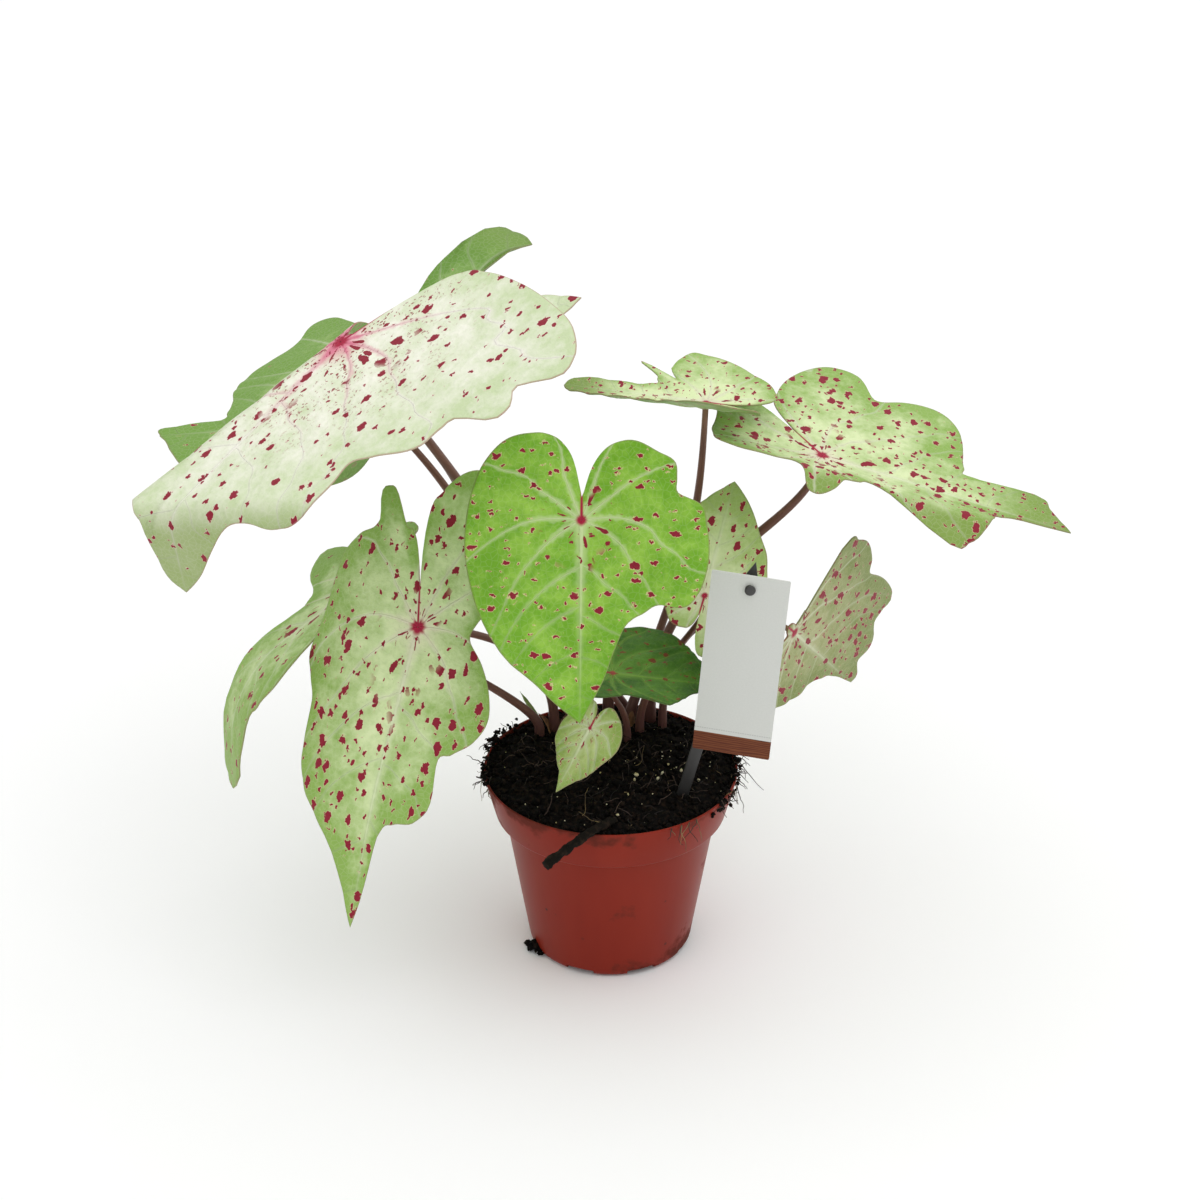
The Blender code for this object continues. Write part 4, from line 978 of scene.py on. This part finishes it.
def add_petiole(leaf, material):
    """The petiole, a little swollen at its foot and thinning towards the blade."""
    path = petiole_path(leaf, PETIOLE_STEPS)
    along = np.concatenate([[0], np.cumsum(np.linalg.norm(np.diff(path, axis=0), axis=1))])
    share = along / along[-1]
    radii = leaf.girth * (1 + (PETIOLE_TOP - 1) * share)
    radii *= 1 + 0.12 * np.exp(-(((along - PETIOLE_DEPTH) / 5) ** 2)) + 0.06 * np.sin(along / 17)
    sides = PETIOLE_SIDES
    points, faces = tube(path, radii, sides)
    from_top = np.repeat(along[-1] - along, sides)
    around = np.tile(np.arange(sides) / sides, len(path))
    attributes = {"run": np.stack([np.repeat(along, sides), around, from_top], -1)}
    name = leaf.name.replace("leaf", "petiole")
    made = place_mesh(name + "_stalk", points, faces, [material], attributes)
    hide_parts(name)


# Pot


def lathe(profile, sides):
    """Points and faces of a closed surface of revolution that starts and ends on the axis."""
    angles = np.arange(sides) * 2 * math.pi / sides
    points = [(0, 0, profile[0][1])]
    for radius, z in profile[1:-1]:
        points += [(radius * math.cos(a), radius * math.sin(a), z) for a in angles]
    points.append((0, 0, profile[-1][1]))
    last = len(points) - 1
    faces = []
    for i in range(sides):
        j = (i + 1) % sides
        faces.append((0, 1 + j, 1 + i))
        faces.append((last, last - sides + i, last - sides + j))
        for ring in range(len(profile) - 3):
            a, b = 1 + ring * sides + i, 1 + ring * sides + j
            faces.append((a, b, b + sides, a + sides))
    return points, faces


def rounded(profile, radius, steps=4):
    """The profile with each inner corner rounded."""
    made = [profile[0]]
    for before, corner, after in zip(profile, profile[1:], profile[2:]):
        a, b, c = (np.array(p, float) for p in (before, corner, after))
        back, on = a - b, c - b
        back_length, on_length = np.linalg.norm(back), np.linalg.norm(on)
        start = b + back * min(radius / back_length, 0.45)
        end = b + on * min(radius / on_length, 0.45)
        for t in np.linspace(0, 1, steps):
            made.append(tuple((1 - t) ** 2 * start + 2 * t * (1 - t) * b + t**2 * end))
    made.append(profile[-1])
    return made


def cut(made, points, faces):
    """Cuts a solid, given by its points and faces, out of a piece."""
    cutter = new_piece("cutter", points, faces)
    change = made.modifiers.new("cut", "BOOLEAN")
    change.operation = "DIFFERENCE"
    change.solver = "EXACT"
    change.object = cutter
    graph = bpy.context.evaluated_depsgraph_get()
    shaped = bpy.data.meshes.new_from_object(made.evaluated_get(graph))
    made.modifiers.clear()
    made.data = shaped
    bpy.data.objects.remove(cutter, do_unlink=True)


def add_pot():
    """The moulded shell with a rolled lip, a stepped collar and drain notches."""
    neck = POT_HEIGHT - POT_COLLAR_HEIGHT - 2.2
    collar = POT_HEIGHT - POT_COLLAR_HEIGHT
    wall = POT_WALL
    profile = (
        (0, 0),
        (POT_FOOT_RADIUS - POT_FOOT_ROUND, 0),
        (POT_FOOT_RADIUS - 0.9, 0.9),
        (POT_FOOT_RADIUS, POT_FOOT_ROUND),
        (POT_NECK_RADIUS, neck),
        (POT_COLLAR_RADIUS, collar),
        (POT_MOUTH_RADIUS, POT_HEIGHT),
        (POT_MOUTH_RADIUS - wall, POT_HEIGHT),
        (POT_COLLAR_RADIUS - wall, collar + 0.6),
        (POT_NECK_RADIUS - wall, neck + 0.6),
        (POT_FOOT_RADIUS - wall, POT_FOOT_ROUND + POT_FLOOR),
        (POT_FOOT_RADIUS - POT_FOOT_ROUND - 0.4, POT_FLOOR),
        (0, POT_FLOOR),
    )
    points, faces = lathe(rounded(profile, POT_ROUNDING), POT_SIDES)
    pot = place_mesh("pot_shell", points, faces, [polypropylene()])
    reach = POT_FOOT_RADIUS + 1 - DRAIN_DEPTH / 2
    corners = [(i, j, k) for i in (-1, 1) for j in (-1, 1) for k in (-1, 1)]
    sides = [(0, 1, 3, 2), (4, 6, 7, 5), (0, 4, 5, 1), (2, 3, 7, 6), (0, 2, 6, 4), (1, 5, 7, 3)]
    for number in range(DRAIN_COUNT):
        turn = (number + 0.5) * 2 * math.pi / DRAIN_COUNT
        out = level(turn)
        along = np.array([-math.sin(turn), math.cos(turn), 0])
        middle = reach * out + np.array([0, 0, DRAIN_HEIGHT / 2 - 1])
        half = np.array([DRAIN_DEPTH, DRAIN_WIDTH, DRAIN_HEIGHT + 2]) / 2
        box = [middle + i * half[0] * out + j * half[1] * along + (0, 0, k * half[2]) for i, j, k in corners]
        cut(pot, box, sides)
    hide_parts("pot")


# Peat and what lies on it


def round_pot(radius, turn, *height):
    """Points at a radius and a turn round the pot's middle line."""
    return np.stack([radius * np.cos(turn), radius * np.sin(turn), *height], -1)


def peat_height(x, y):
    """Height of the peat's crown, as in the CAD."""
    share = np.hypot(x, y) / PEAT_RADIUS
    rough = np.sin(0.31 * x + 0.7) * np.cos(0.27 * y - 0.4) + 0.5 * np.sin(0.53 * y + 0.45 * x)
    crown = PEAT_CROWN * (1 - share**2) - PEAT_EDGE_DROP * share**2
    return POT_HEIGHT + crown + PEAT_ROUGHNESS * rough * 0.6 * (1 - share**6)


def ripple(points, scale, seed):
    """Smooth noise between about -1 and 1 at each point."""
    shift = Vector((13.7, 7.1, 3.3)) * seed
    return np.array([noise.noise(Vector(p) / scale + shift) for p in points])


def add_peat(material):
    """The rough crown of the peat, with its edge down inside the lip."""
    rings, sides = PEAT_GRID
    radii = np.concatenate([np.linspace(0.01, PEAT_RADIUS, rings), [PEAT_RADIUS - 1.3]])
    angles = np.arange(sides) * 2 * math.pi / sides
    x = np.outer(radii, np.cos(angles)).ravel()
    y = np.outer(radii, np.sin(angles)).ravel()
    flat = np.stack([x, y, np.zeros(len(x))], -1)
    z = peat_height(x, y) + 1.5 * ripple(flat, 4.0, 1) + 0.9 * ripple(flat, 1.7, 2)
    z[-sides:] = POT_HEIGHT - 4
    faces = []
    for ring in range(rings):
        for i in range(sides):
            a, b = ring * sides + i, ring * sides + (i + 1) % sides
            faces.append((a, a + sides, b + sides, b))
    made = place_mesh("peat_crown", np.stack([x, y, z], -1), faces, [material])
    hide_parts("peat")


def lump_shape():
    """Unit points and faces of a round lump."""
    made = bmesh.new()
    bmesh.ops.create_icosphere(made, subdivisions=1, radius=1.0)
    points = np.array([v.co[:] for v in made.verts])
    faces = [tuple(v.index for v in f.verts) for f in made.faces]
    made.free()
    return points, faces


def lumps(draw, places, sizes, flatness):
    """Points and faces of ragged lumps, each turned and stretched its own way."""
    unit, unit_faces = lump_shape()
    points, faces = [], []
    for place, size in zip(places, sizes):
        turn = Euler(draw.uniform(0, 2 * math.pi, 3)).to_matrix()
        stretch = draw.uniform(flatness, 1.15, 3)
        ragged = 1 + draw.uniform(-0.28, 0.28, len(unit))
        shape = (unit * ragged[:, None] * stretch) @ np.array(turn)
        start = len(points) * len(unit)
        points.append(np.asarray(place) + size * shape)
        faces += [tuple(start + i for i in f) for f in unit_faces]
    return np.concatenate(points), faces


def clustered(draw, count, middle, spread):
    """Random (x, y) round a middle."""
    return np.array(middle) + draw.normal(0, spread, (count, 2))


def scattered(draw, count, reach):
    """Random (x, y) on the peat."""
    radius = reach * np.sqrt(draw.uniform(0, 1, count))
    return round_pot(radius, draw.uniform(0, 2 * math.pi, count))


def on_peat(flat, lift):
    """Points over flat places, raised from the peat by lift."""
    return np.stack([flat[:, 0], flat[:, 1], peat_height(flat[:, 0], flat[:, 1]) + lift], -1)


def rim_places(draw, count, clump):
    """Random places in a clump that hangs over the lip."""
    turn, width, out, low, high = clump
    angle = np.radians(turn + draw.normal(0, width, count))
    height = draw.uniform(low, high, count)
    reach = POT_MOUTH_RADIUS + draw.uniform(-3.0, out, count) - np.maximum(POT_HEIGHT - height, 0) * 0.28
    return round_pot(reach, angle, height)


def add_crumbs(material):
    """Crumbs over the peat, thicker along the lip, and in the clumps that spill over it."""
    draw = np.random.default_rng(CRUMB_SEED)
    flat = scattered(draw, CRUMBS, PEAT_RADIUS - 1)
    sizes = draw.uniform(0.5, 1.0, len(flat)) ** 2 * 2.2
    places = [on_peat(flat, 0.25 * sizes)]
    turn = draw.uniform(0, 2 * math.pi, EDGE_CRUMBS)
    edge = round_pot(PEAT_RADIUS - draw.uniform(0.5, 3.5, EDGE_CRUMBS), turn)
    edge_sizes = draw.uniform(0.5, 1.3, EDGE_CRUMBS)
    places.append(on_peat(edge, 0.5 + edge_sizes * 0.5))
    sizes = np.concatenate([sizes, edge_sizes])
    for clump in RIM_CLUMPS:
        more = rim_places(draw, CLUMP_CRUMBS, clump)
        places.append(more)
        sizes = np.concatenate([sizes, draw.uniform(0.5, 1.5, len(more))])
    count, middle, spread, heap = FALLEN
    fallen = clustered(draw, count, middle, spread)
    fallen_sizes = draw.uniform(1.0, 2.3, count)
    far = np.hypot(fallen[:, 0] - middle[0], fallen[:, 1] - middle[1])
    height = fallen_sizes + np.maximum(heap - far, 0) * draw.uniform(0, 1, count)
    places.append(np.column_stack([fallen, height]))
    sizes = np.concatenate([sizes, fallen_sizes])
    points, faces = lumps(draw, np.concatenate(places), sizes, 0.55)
    points[:, 2] = np.maximum(points[:, 2], 0.05)
    place_mesh("peat_crumbs", points, faces, [material])


def add_perlite(material):
    """Perlite grains and bits of husk, where the mix shows them, and strewn thinly."""
    draw = np.random.default_rng(PERLITE_SEED)
    strewn = scattered(draw, STREWN_PERLITE, PEAT_RADIUS - 3)
    flat = np.concatenate([np.array(PERLITE), strewn, clustered(draw, *PERLITE_PATCH)])
    large = draw.uniform(0.75, 1.15, len(PERLITE))
    sizes = np.concatenate([large, draw.uniform(0.2, 0.5, len(flat) - len(large))])
    points, faces = lumps(draw, on_peat(flat, 0.9 + 0.3 * sizes), sizes, 0.6)
    place_mesh("perlite_grains", points, faces, [material])


def strand(draw, start, way, length, droop, steps=9):
    """A wandering line of points that starts in a direction and sags."""
    path = [np.array(start, float)]
    way = np.array(way, float)
    for _ in range(steps):
        way = way + draw.normal(0, 0.28, 3) - (0, 0, droop)
        way /= np.linalg.norm(way)
        path.append(path[-1] + way * length / steps)
    return np.array(path)


def joined(parts):
    """One set of points and faces from several."""
    points, faces, start = [], [], 0
    for part_points, part_faces in parts:
        points.append(part_points)
        faces += [tuple(start + i for i in f) for f in part_faces]
        start += len(part_points)
    return np.concatenate(points), faces


def hair(path, thick, share=1.0):
    """Points and faces of a fibre that thins towards its end."""
    return tube(path, np.linspace(thick, 0.4 * thick, len(path)) * share, 5)


def add_fibres(name, material, fibres):
    """Loose fibres on the peat and out of the clumps along the lip."""
    count, thick, seed = fibres
    draw = np.random.default_rng(seed)
    parts = []
    for place in on_peat(scattered(draw, count, PEAT_RADIUS - 5), 0.9):
        turn = draw.uniform(0, 2 * math.pi)
        length = draw.uniform(4, 15)
        path = strand(draw, place, (math.cos(turn), math.sin(turn), 0.25), length, 0.0)
        path[:, 2] = np.maximum(path[:, 2], peat_height(path[:, 0], path[:, 1]) + 0.5)
        inside = np.hypot(path[:, 0], path[:, 1]) < PEAT_RADIUS - 1
        if inside.all():
            parts.append(hair(path, thick, draw.uniform(0.6, 1.3)))
    for clump in RIM_CLUMPS:
        for place in rim_places(draw, count // 9, clump):
            out = place * (1, 1, 0) / np.hypot(place[0], place[1])
            way = out + draw.normal(0, 0.6, 3)
            path = strand(draw, place, way, draw.uniform(3, 9), 0.12)
            parts.append(hair(path, thick))
    for turn, drop in HANGING:
        out = level(math.radians(turn))
        start = out * (POT_MOUTH_RADIUS + 0.8) + (0, 0, POT_HEIGHT + 0.5)
        path = strand(draw, start, out * 0.2 + (0, 0, -1), drop * draw.uniform(0.9, 1.3), 0.2)
        clear = POT_MOUTH_RADIUS + 0.5 - (POT_HEIGHT - path[:, 2]) * 0.24
        reach = np.maximum(np.hypot(path[:, 0], path[:, 1]), clear)
        around = np.arctan2(path[:, 1], path[:, 0])
        parts.append(hair(round_pot(reach, around, path[:, 2]), thick))
    points, faces = joined(parts)
    place_mesh(name, points, faces, [material])


def smoothed(path, radii, count, rounds):
    """A finer, rounded middle line along a path, and its radii."""
    path = np.array(path, float)
    knots = np.linspace(0, 1, len(path))
    t = np.linspace(0, 1, count)
    fine = np.stack([np.interp(t, knots, path[:, i]) for i in range(3)], -1)
    for _ in range(rounds):
        fine[1:-1] = (fine[:-2] + 2 * fine[1:-1] + fine[2:]) / 4
    return fine, np.interp(t, knots, radii)


def add_sliver(material):
    """The sliver of bark, ragged along its length."""
    fine, radii = smoothed(SLIVER_PATH, SLIVER_RADII, 60, 30)
    points, faces = tube(fine, radii, 20)
    middle = np.repeat(fine, 20, axis=0)
    ridge = 1 + 0.45 * ripple(points, 3.2, 7) + 0.35 * ripple(points, 1.1, 8)
    points = middle + (points - middle) * ridge[:, None]
    made = place_mesh("sliver_bark", points, faces, [material])
    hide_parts("sliver")


def add_shoot(material):
    """The new shoot: a rolled leaf that comes to a point."""
    fine, radii = smoothed(SHOOT_PATH, SHOOT_RADII, 40, 20)
    radii *= np.clip((1 - np.linspace(0, 1, len(fine))) / 0.15, 0.12, 1)
    points, faces = tube(fine, radii, 16)
    made = place_mesh("shoot_rolled", points, faces, [material])
    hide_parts("shoot")


def add_sheaths(material):
    """Dry papery sheaths that curl away from the feet of the petioles."""
    parts = []
    for x, y, turn, lean, length, width in SHEATHS:
        out = level(math.radians(turn))
        side = np.array([-out[1], out[0], 0])
        rows = np.linspace(0, 1, 12)
        points = []
        for t in rows:
            middle = np.array([x, y, float(peat_height(x, y)) - 1.5]) + out * lean * length * t**1.7
            middle[2] += length * t * (1 - 0.25 * t)
            half = width * (1 - t) ** 0.7 * 0.5 + 0.15
            for s in np.linspace(-1, 1, 7):
                points.append(middle + side * half * s - out * half * 0.7 * s**2)
        faces = []
        for row in range(len(rows) - 1):
            for i in range(6):
                a = row * 7 + i
                faces.append((a, a + 1, a + 8, a + 7))
        parts.append((np.array(points), faces))
    points, faces = joined(parts)
    made = place_mesh("petiole_sheaths", points, faces, [material])
    thick = made.modifiers.new("thickness", "SOLIDIFY")
    thick.thickness = 0.35 * MM


# Card and stake


def card_axes():
    """Across the card, up it, and out of its back, as in the CAD."""
    lean, yaw = math.radians(CARD_LEAN), math.radians(CARD_YAW)
    up = np.array([math.sin(lean), 0, math.cos(lean)])
    side = np.array([math.cos(lean), math.sin(yaw), -math.sin(lean)])
    side /= np.linalg.norm(side)
    return side, up, np.cross(side, up)


def stake_axes():
    """Along the stake, and across it."""
    lean = math.radians(STAKE_LEAN)
    return np.array([math.sin(lean), 0, math.cos(lean)]), np.array([math.cos(lean), 0, -math.sin(lean)])


def stud_place():
    """Where the stud leaves the front of the stake."""
    middle = np.array(STAKE_FOOT) + (STAKE_LENGTH - STUD_DROP) * stake_axes()[0]
    return middle - np.array([0, STAKE_THICKNESS / 2, 0])


def add_card():
    """A thin card with rounded corners and a punched hole."""
    side, up, out = card_axes()
    stud = stud_place()
    middle = np.array(CARD_MIDDLE)
    centre = stud - np.array([0, (stud - middle) @ out / out[1], 0]) - middle
    hole_x, hole_z = centre @ side, centre @ up
    half_width, half_height = CARD_WIDTH / 2 - CARD_CORNER, CARD_HEIGHT / 2 - CARD_CORNER
    outline = []
    for number, (sx, sz) in enumerate(((1, 1), (-1, 1), (-1, -1), (1, -1))):
        for k in range(7):
            a = math.radians(90 * number + 15 * k)
            outline.append((sx * half_width + CARD_CORNER * math.cos(a),
                            sz * half_height + CARD_CORNER * math.sin(a)))
    hole = []
    for k in range(28):
        a = k * 2 * math.pi / 28
        hole.append((hole_x + CARD_HOLE_RADIUS * math.cos(a), hole_z + CARD_HOLE_RADIUS * math.sin(a)))
    made = bmesh.new()
    loops = []
    for ring in (outline, hole):
        corners = [made.verts.new((x, z, 0)) for x, z in ring]
        loops += [made.edges.new((corners[i - 1], corners[i])) for i in range(len(corners))]
    bmesh.ops.triangle_fill(made, edges=loops, use_beauty=True)
    made.verts.index_update()
    flat = np.array([v.co[:2] for v in made.verts])
    faces = [tuple(v.index for v in f.verts) for f in made.faces]
    made.free()
    count = len(flat)
    back = middle + flat[:, :1] * side + flat[:, 1:] * up
    points = np.concatenate([back, back + CARD_THICKNESS * out])
    solid = [f[::-1] for f in faces] + [tuple(i + count for i in f) for f in faces]
    for ring, start in ((outline, 0), (hole, len(outline))):
        for i in range(len(ring)):
            a, b = start + i, start + (i + 1) % len(ring)
            solid.append((a, b, b + count, a + count))
    flat = flat + (CARD_WIDTH / 2, CARD_HEIGHT / 2)
    sheet = np.concatenate([flat, flat])
    sheet = np.concatenate([sheet, np.zeros((len(sheet), 1))], axis=1)
    card = place_mesh("card_sheet", points, solid, [printed_card()], {"sheet": sheet})
    card.data.polygons.foreach_set("use_smooth", [False] * len(card.data.polygons))
    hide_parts("card")


def add_stake(material):
    """The flat pointed stake, and its stud with a domed head."""
    way, across = stake_axes()
    half = STAKE_WIDTH / 2
    shoulder = STAKE_LENGTH - STAKE_POINT
    outline = [(-half, -STAKE_DEPTH), (half, -STAKE_DEPTH)]
    outline += [(half, shoulder), (0, STAKE_LENGTH), (-half, shoulder)]
    points = []
    for y in (-STAKE_THICKNESS / 2, STAKE_THICKNESS / 2):
        for aside, along in outline:
            points.append(np.array(STAKE_FOOT) + aside * across + along * way + np.array([0, y, 0]))
    faces = [(0, 1, 2, 3, 4), (9, 8, 7, 6, 5)]
    faces += [((i + 1) % 5, i, i + 5, (i + 1) % 5 + 5) for i in range(5)]
    bar = place_mesh("stake_bar", points, faces, [material])
    rounding = bar.modifiers.new("edges", "BEVEL")
    rounding.width = STAKE_ROUNDING * MM
    rounding.segments = 2
    rounding.limit_method = "ANGLE"
    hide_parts("stake")
    head = STUD_LENGTH - STUD_HEAD_HEIGHT
    profile = [(0, 0), (STUD_RADIUS, 0.01), (STUD_RADIUS, head), (STUD_HEAD_RADIUS, head + 0.05)]
    for k in range(1, 8):
        a = math.radians(k * 90 / 8)
        profile.append((STUD_HEAD_RADIUS * math.cos(a), head + 0.2 + (STUD_HEAD_HEIGHT - 0.2) * math.sin(a)))
    profile.append((0, STUD_LENGTH))
    turned, faces = lathe(profile, 32)
    root = stud_place() + (0, 0.2, 0)
    points = [root + np.array([x, -z, y]) for x, y, z in turned]
    stud = place_mesh("stake_stud", points, faces, [material])
    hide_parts("stake")


# Studio


def add_floor():
    """A matt painted floor, pale and even."""
    finish = new_material("matt_painted_floor")[1]
    sides = ((-1, -1), (1, -1), (1, 1), (-1, 1))
    corners = [(x * FLOOR_REACH, y * FLOOR_REACH, FLOOR_HEIGHT) for x, y in sides]
    floor = new_piece("studio_floor", corners, [(0, 1, 2, 3)])
    floor.data.materials.append(finish("fcfcfc", (), {"Roughness": 0.9}))


def add_light():
    """Soft studio light: a white room that is brightest overhead, and one wide lamp."""
    world = bpy.data.worlds.new("studio_room")
    world.use_nodes = True
    world.node_tree.nodes.clear()
    sky = add(world.node_tree, "TexCoord", out="Generated")
    height = add(world.node_tree, "SeparateXYZ", sky, out=2)
    rising = add(world.node_tree, "MapRange", height, 0.0, 1.0, *ROOM_LIGHT)
    room = {"Color": linear("ffffff"), "Strength": rising}
    room = add(world.node_tree, "Background", room)
    add(world.node_tree, "OutputWorld", {"Surface": room})
    bpy.context.scene.world = world
    bpy.context.scene.view_settings.view_transform = "Standard"
    lamp = bpy.data.lights.new("key", "AREA")
    lamp.size = LAMP_SIZE
    lamp.energy = LAMP_POWER
    made = bpy.data.objects.new("key", lamp)
    made.location = LAMP_PLACE
    way = Vector(LAMP_AIM) - Vector(LAMP_PLACE)
    made.rotation_euler = way.to_track_quat("-Z", "Y").to_euler()
    bpy.context.collection.objects.link(made)


def add_camera():
    """The camera, where the photograph was taken from."""
    rise = math.radians(CAMERA_ELEVATION)
    aim = Vector(CAMERA_AIM)
    camera = bpy.data.objects.new("camera", bpy.data.cameras.new("camera"))
    camera.data.lens = CAMERA_LENS
    camera.data.sensor_width = CAMERA_SENSOR
    camera.location = aim - CAMERA_DISTANCE * Vector((0, math.cos(rise), -math.sin(rise)))
    camera.rotation_euler = (aim - camera.location).to_track_quat("-Z", "Y").to_euler()
    bpy.context.collection.objects.link(camera)
    bpy.context.scene.camera = camera


def main():
    add_camera()
    add_floor()
    add_light()
    petiole = petiole_skin()
    for number, leaf in enumerate(LEAVES):
        add_leaf(number, leaf)
        add_petiole(leaf, petiole)
    add_pot()
    damp_peat = crumbly("milled_peat", "0b0908", "2e221a", 2.2)
    add_peat(damp_peat)
    add_crumbs(damp_peat)
    add_perlite(tinted("perlite", ("b5a56a", "e3dcc0"), 0.85, 3.0))
    add_fibres("peat_fibres", tinted("root_fibre", ("120d0a", "46342a"), 0.85, 9.0), ROOT_FIBRES)
    add_fibres("straw_fibres", tinted("straw", ("54432c", "8f7a50"), 0.8, 6.0), STRAWS)
    add_sliver(crumbly("stripped_bark", "16130f", "33281f", 3.0))
    add_shoot(tinted("new_leaf_skin", ("5d7a35", "8a9c58"), 0.45, 8.0))
    add_sheaths(tinted("dry_sheath", ("5a3a26", "946a48"), 0.7, 4.0))
    add_card()
    add_stake(black_polystyrene())


main()
